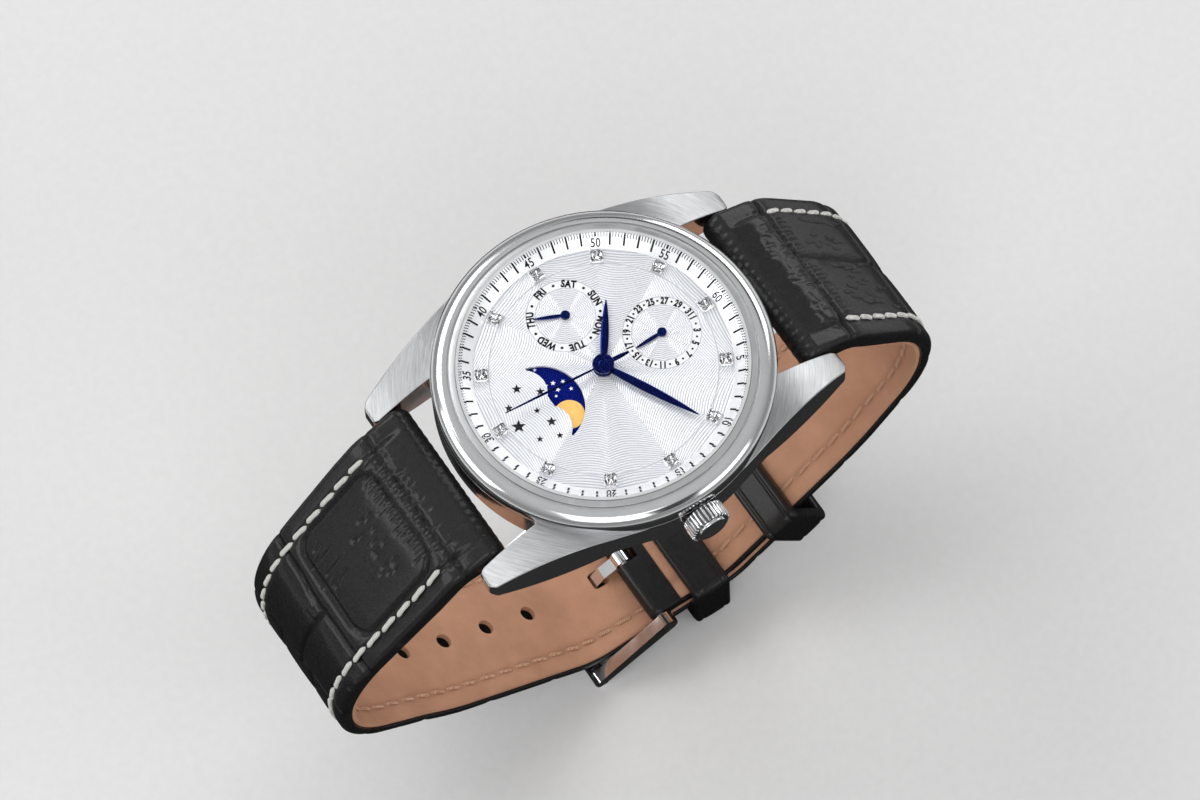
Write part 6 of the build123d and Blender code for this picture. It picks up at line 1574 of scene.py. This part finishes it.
# %% [markdown]
# ## Lining
# The lining is a thinner tan leather glued inside. It stops a little short of the edges and carries
# the other side of the stitching, in thread of its own colour, pulled into the leather so that it
# lies in a shallow channel.

# %% The lining
LINING_COLUMNS, LINING_INSET = 72, 0.3


def lining_skin(half, start, end_trim):
    """The closed skin of one lining, and how deep each of its points lies."""
    run = run_along(half.inner)
    end = run[-1] - end_trim
    wanted = np.append(np.arange(start, end, 0.45), end)
    tables = [[np.interp(wanted, run, table[:, k]) for k in (0, 1)] for table in (half.inner, half.out)]
    inner, out = (np.stack(table, -1) for table in tables)
    width = (np.interp(wanted, run, half.width) - LINING_INSET)[:, None]
    x = width * np.linspace(-1, 1, LINING_COLUMNS)[None, :]
    channel = 0.16 * np.exp(-(((np.abs(x) - (width + LINING_INSET - 2.6)) / 0.55) ** 2))
    edge = 0.22 * np.clip(1 - (width - np.abs(x)) / 0.5, 0, 1) ** 2
    ends = [0.25 * np.clip(1 - gap / 0.5, 0, 1)[:, None] for gap in (wanted - start, end - wanted)]
    face = laid(x, inner, out, channel + edge + (ends[0] + ends[1]))
    back = laid(x, inner, out, LINING_THICK - 0.03)
    rows = [np.concatenate([f, b[::-1]]) for f, b in zip(face, back)]
    size = 2 * LINING_COLUMNS
    faces = grid_faces(len(rows), size, round_columns=True)
    for base in (0, (len(rows) - 1) * size):
        for j in range(LINING_COLUMNS - 1):
            faces.append((base + j, base + j + 1, base + size - 2 - j, base + size - 1 - j))
    sunk = np.zeros((len(rows), size))
    sunk[:, :LINING_COLUMNS] = np.clip(channel / 0.16, 0, 1) * 0.35
    return (np.array(rows).reshape(-1, 3), faces), sunk.ravel()


lining = {}
for label, half in HALVES.items():
    skin, sunk = lining_skin(half, LINING_FROM, LINING_STOPS[label])
    name, stands_for = f"strap_{label}_inside", [f"strap_{label}_lining"]
    lining[label] = make_piece(name, skin, "case", "strap_lining", stands_for, cut=sunk, crisp=50)
    print("lining points on half", label, ":", len(skin[0]))

# %% [markdown]
# ## Holes for the buckle
# A punch makes the round holes that the tongue goes through, and the slit where it passes now.
# They go through the leather and its lining together, and a boolean does the same.

# %% Punch the holes
HOLES, HOLE_PITCH, FIRST_HOLE, SLOT_HALF = 4, 7.0, 5.2, 1.15
fall_foot, fall_top = lower_corners[5], lower_corners[4]
fall_angle = math.atan2(fall_top[1] - fall_foot[1], fall_foot[0] - fall_top[0])
cuts = []
for hole in range(HOLES):
    back_by = FIRST_HOLE + hole * HOLE_PITCH
    y, z = fall_foot[0] - back_by * math.cos(fall_angle), fall_foot[1] + back_by * math.sin(fall_angle)
    place = Matrix.Translation((0, y, z)) @ Matrix.Rotation(-fall_angle, 4, "X")
    cuts.append(moved(disc(1.0, -4.4, 4.4, 40), place))
(top_y, top_z), (bottom_y, bottom_z) = (-2.4, -52.2), (-6.1, -56.0)
slit_way = Vector((0, bottom_y - top_y, bottom_z - top_z)).to_track_quat("Z", "X").to_matrix().to_4x4()
slit_middle = Matrix.Translation((0, (top_y + bottom_y) / 2, (top_z + bottom_z) / 2))
slit = pressed(eased(box_outline(-SLOT_HALF, SLOT_HALF, -0.8, 0.8), 0.5, 5), -4.6, 4.6)
cuts.append(moved(slit, slit_middle @ slit_way @ Matrix.Rotation(math.radians(90), 4, "Z")))
for cut in cuts:
    combine(leather["6"], cut, "DIFFERENCE")
    combine(lining["6"], cut, "DIFFERENCE")
tongue_slot = pressed(box_outline(-SLOT_HALF, SLOT_HALF, -1.9, 2.1), -54.6, -48.6)
combine(leather["12"], tongue_slot, "DIFFERENCE")
for piece in (leather["6"], lining["6"], leather["12"]):
    smooth(piece, 50)
print("holes punched:", HOLES)

# %% [markdown]
# ## Stitching
# Waxed cream thread holds the layers together. Each visible stitch is a short, round-ended bead
# that dips into its holes and lies a little askew, because the needle pulls it that way. A bead is
# a row of circles whose radius swells and shrinks along a curved line.

# %% One stitch, many times
def bead(start, end, lift, radius, bulge=0.16, steps=10, around=10):
    """A stitch between two places, arched along a lift direction."""
    way = end - start
    side = way.cross(lift).normalized()
    rows = []
    for k in range(steps + 1):
        t = k / steps
        centre = start + way * t + lift * (bulge * 4 * t * (1 - t) - 0.06)
        swell = radius * max(0.02, (1 - abs(2 * t - 1) ** 4)) ** 0.5 * (1 + 0.08 * math.sin(t * 9))
        rows.append([])
        for j in range(around):
            a = 2 * math.pi * j / around
            rows[-1].append(tuple(centre + side * math.cos(a) * swell + lift * math.sin(a) * swell * 0.85))
    return skinned(rows)


def stitches(half, last, long, inset, depth, lift_sign, radius, first=6.0, pitch=2.9):
    """Rows of stitches along both edges of a half. Without a depth they lie on the outer face."""
    beads = []
    for side in (-1, 1):
        s = first
        while s < last:
            ends = []
            for step, skew in ((0, -0.13), (long, 0.13)):
                width, thick = (float(half.read(s + step, values)) for values in (half.width, half.thick))
                deep = thick - 0.16 - 0.25 * padding(thick) + 0.04 if depth is None else depth
                ends.append(half.place(s + step, side * (width - inset + skew), deep))
            middle = half.place(s + long / 2, 0, 1.0) - half.place(s + long / 2, 0, 0.0)
            beads.append(bead(*ends, middle.normalized() * lift_sign, radius))
            s += pitch
    return beads


for label, stop in (("12", 6.0), ("6", 9.0)):
    half, last = HALVES[label], HALVES[label].along[-1] - stop
    outside_stitches = stitches(half, last, 2.65, 2.5, None, 1, 0.32)
    inside_stitches = stitches(half, last, 2.55, 2.6, 0.17, -1, 0.26)
    for kind, beads, thread_finish, layer in (
        ("stitches", outside_stitches, "thread_cream", "strap_leather"),
        ("inside_stitches", inside_stitches, "thread_tan", "strap_lining"),
    ):
        make_piece(f"strap_{label}_{kind}", join_shapes(*beads), "case", thread_finish)
    print("stitches on half", label, ":", len(outside_stitches))

# %% [markdown]
# ## Keepers
# Two leather loops hold the free end of the strap. One is fixed by the buckle, and the other slides.
# Each is a strip bent to a flat loop, with a line creased along both edges by a hot tool. The grid
# runs round the loop one way and round the strip's own section the other way.

# %% A keeper
def loop_outline(half, low, high, corner, per_corner=8, per_side=14):
    """A flat loop with round corners, its straight sides divided finely."""
    angles = [90 * k / per_corner for k in range(per_corner + 1)]
    places = four_corners(-half, half, low, high, corner, angles)
    result = []
    for k, here in enumerate(places):
        result.append(here)
        after = places[(k + 1) % len(places)]
        if (k + 1) % (per_corner + 1) == 0:
            for s in range(1, per_side):
                result.append(tuple(a + (b - a) * s / per_side for a, b in zip(here, after)))
    return np.array(result)


def keeper_loop():
    """A strip 5 mm wide, bent to a loop."""
    inner, outer = loop_outline(9.3, -5.7, 0.0, 0.35), loop_outline(10.8, -7.2, 1.5, 1.1)
    section = []
    for y in np.linspace(0.35, 4.65, 30):
        crease = 0.10 * sum(math.exp(-(((y - line) / 0.16) ** 2)) for line in (0.95, 4.05))
        section.append((y, 1.0 - crease / 1.5 - 0.03 * (abs(y - 2.5) / 2.5) ** 2))
    section += [(4.8, 0.93), (4.93, 0.83), (5.0, 0.68), (5.0, 0.2), (4.9, 0.05), (4.7, 0.0)]
    section += [(y, 0.0) for y in np.linspace(4.0, 1.0, 8)]
    section += [(0.3, 0.0), (0.1, 0.05), (0.0, 0.2), (0.0, 0.68), (0.07, 0.83), (0.2, 0.93)]
    rows = []
    for (xi, zi), (xo, zo) in zip(inner, outer):
        rows.append([(xi + (xo - xi) * up, y, zi + (zo - zi) * up) for y, up in section])
    faces = grid_faces(len(rows), len(section), round_rows=True, round_columns=True)
    return np.array(rows).reshape(-1, 3), faces


KEEPER_RUN, KEEPER_GAP = 7.5, 0.3
sliding_y = slope_foot[0] + KEEPER_RUN * slope_way.x - KEEPER_GAP * slope_way.y
sliding_z = slope_foot[1] + KEEPER_RUN * slope_way.y + KEEPER_GAP * slope_way.x
sliding_place = Matrix.Translation((0, sliding_y, sliding_z)) @ Matrix.Rotation(lean, 4, "X")
for name, place, body, stands_for in (
    ("fixed_loop", Matrix.Translation((0, 4.5, -49.7)), "case", "fixed_keeper"),
    ("sliding_loop", sliding_place, "sliding_keeper", "sliding_keeper"),
):
    make_piece(name, moved(keeper_loop(), place), body, "strap_leather", [stands_for], crisp=50)
print("keepers: 2, lean in degrees:", round(math.degrees(lean), 2))

# %% [markdown]
# ## Ease the edges of the metal that stays plain
# Solids from a drawing have knife edges, and those look wrong under a lamp. A bevel modifier rounds
# every edge that is sharp enough, by a quarter of a millimetre or less, and leaves the solid itself
# alone.

# %% Small bevels
BEVELS = {
    "buckle_frame": 0.22, "buckle_tongue": 0.16, "case_back": 0.08,
    "main_plate": 0.04, "train_bridge": 0.05, "battery": 0.08,
}
for name, width in BEVELS.items():
    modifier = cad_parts[name].modifiers.new("ease", "BEVEL")
    modifier.width = width * MM
    modifier.segments = 3
    modifier.limit_method = "ANGLE"
    modifier.angle_limit = math.radians(35)
    modifier.harden_normals = True
print("eased solids:", len(BEVELS))
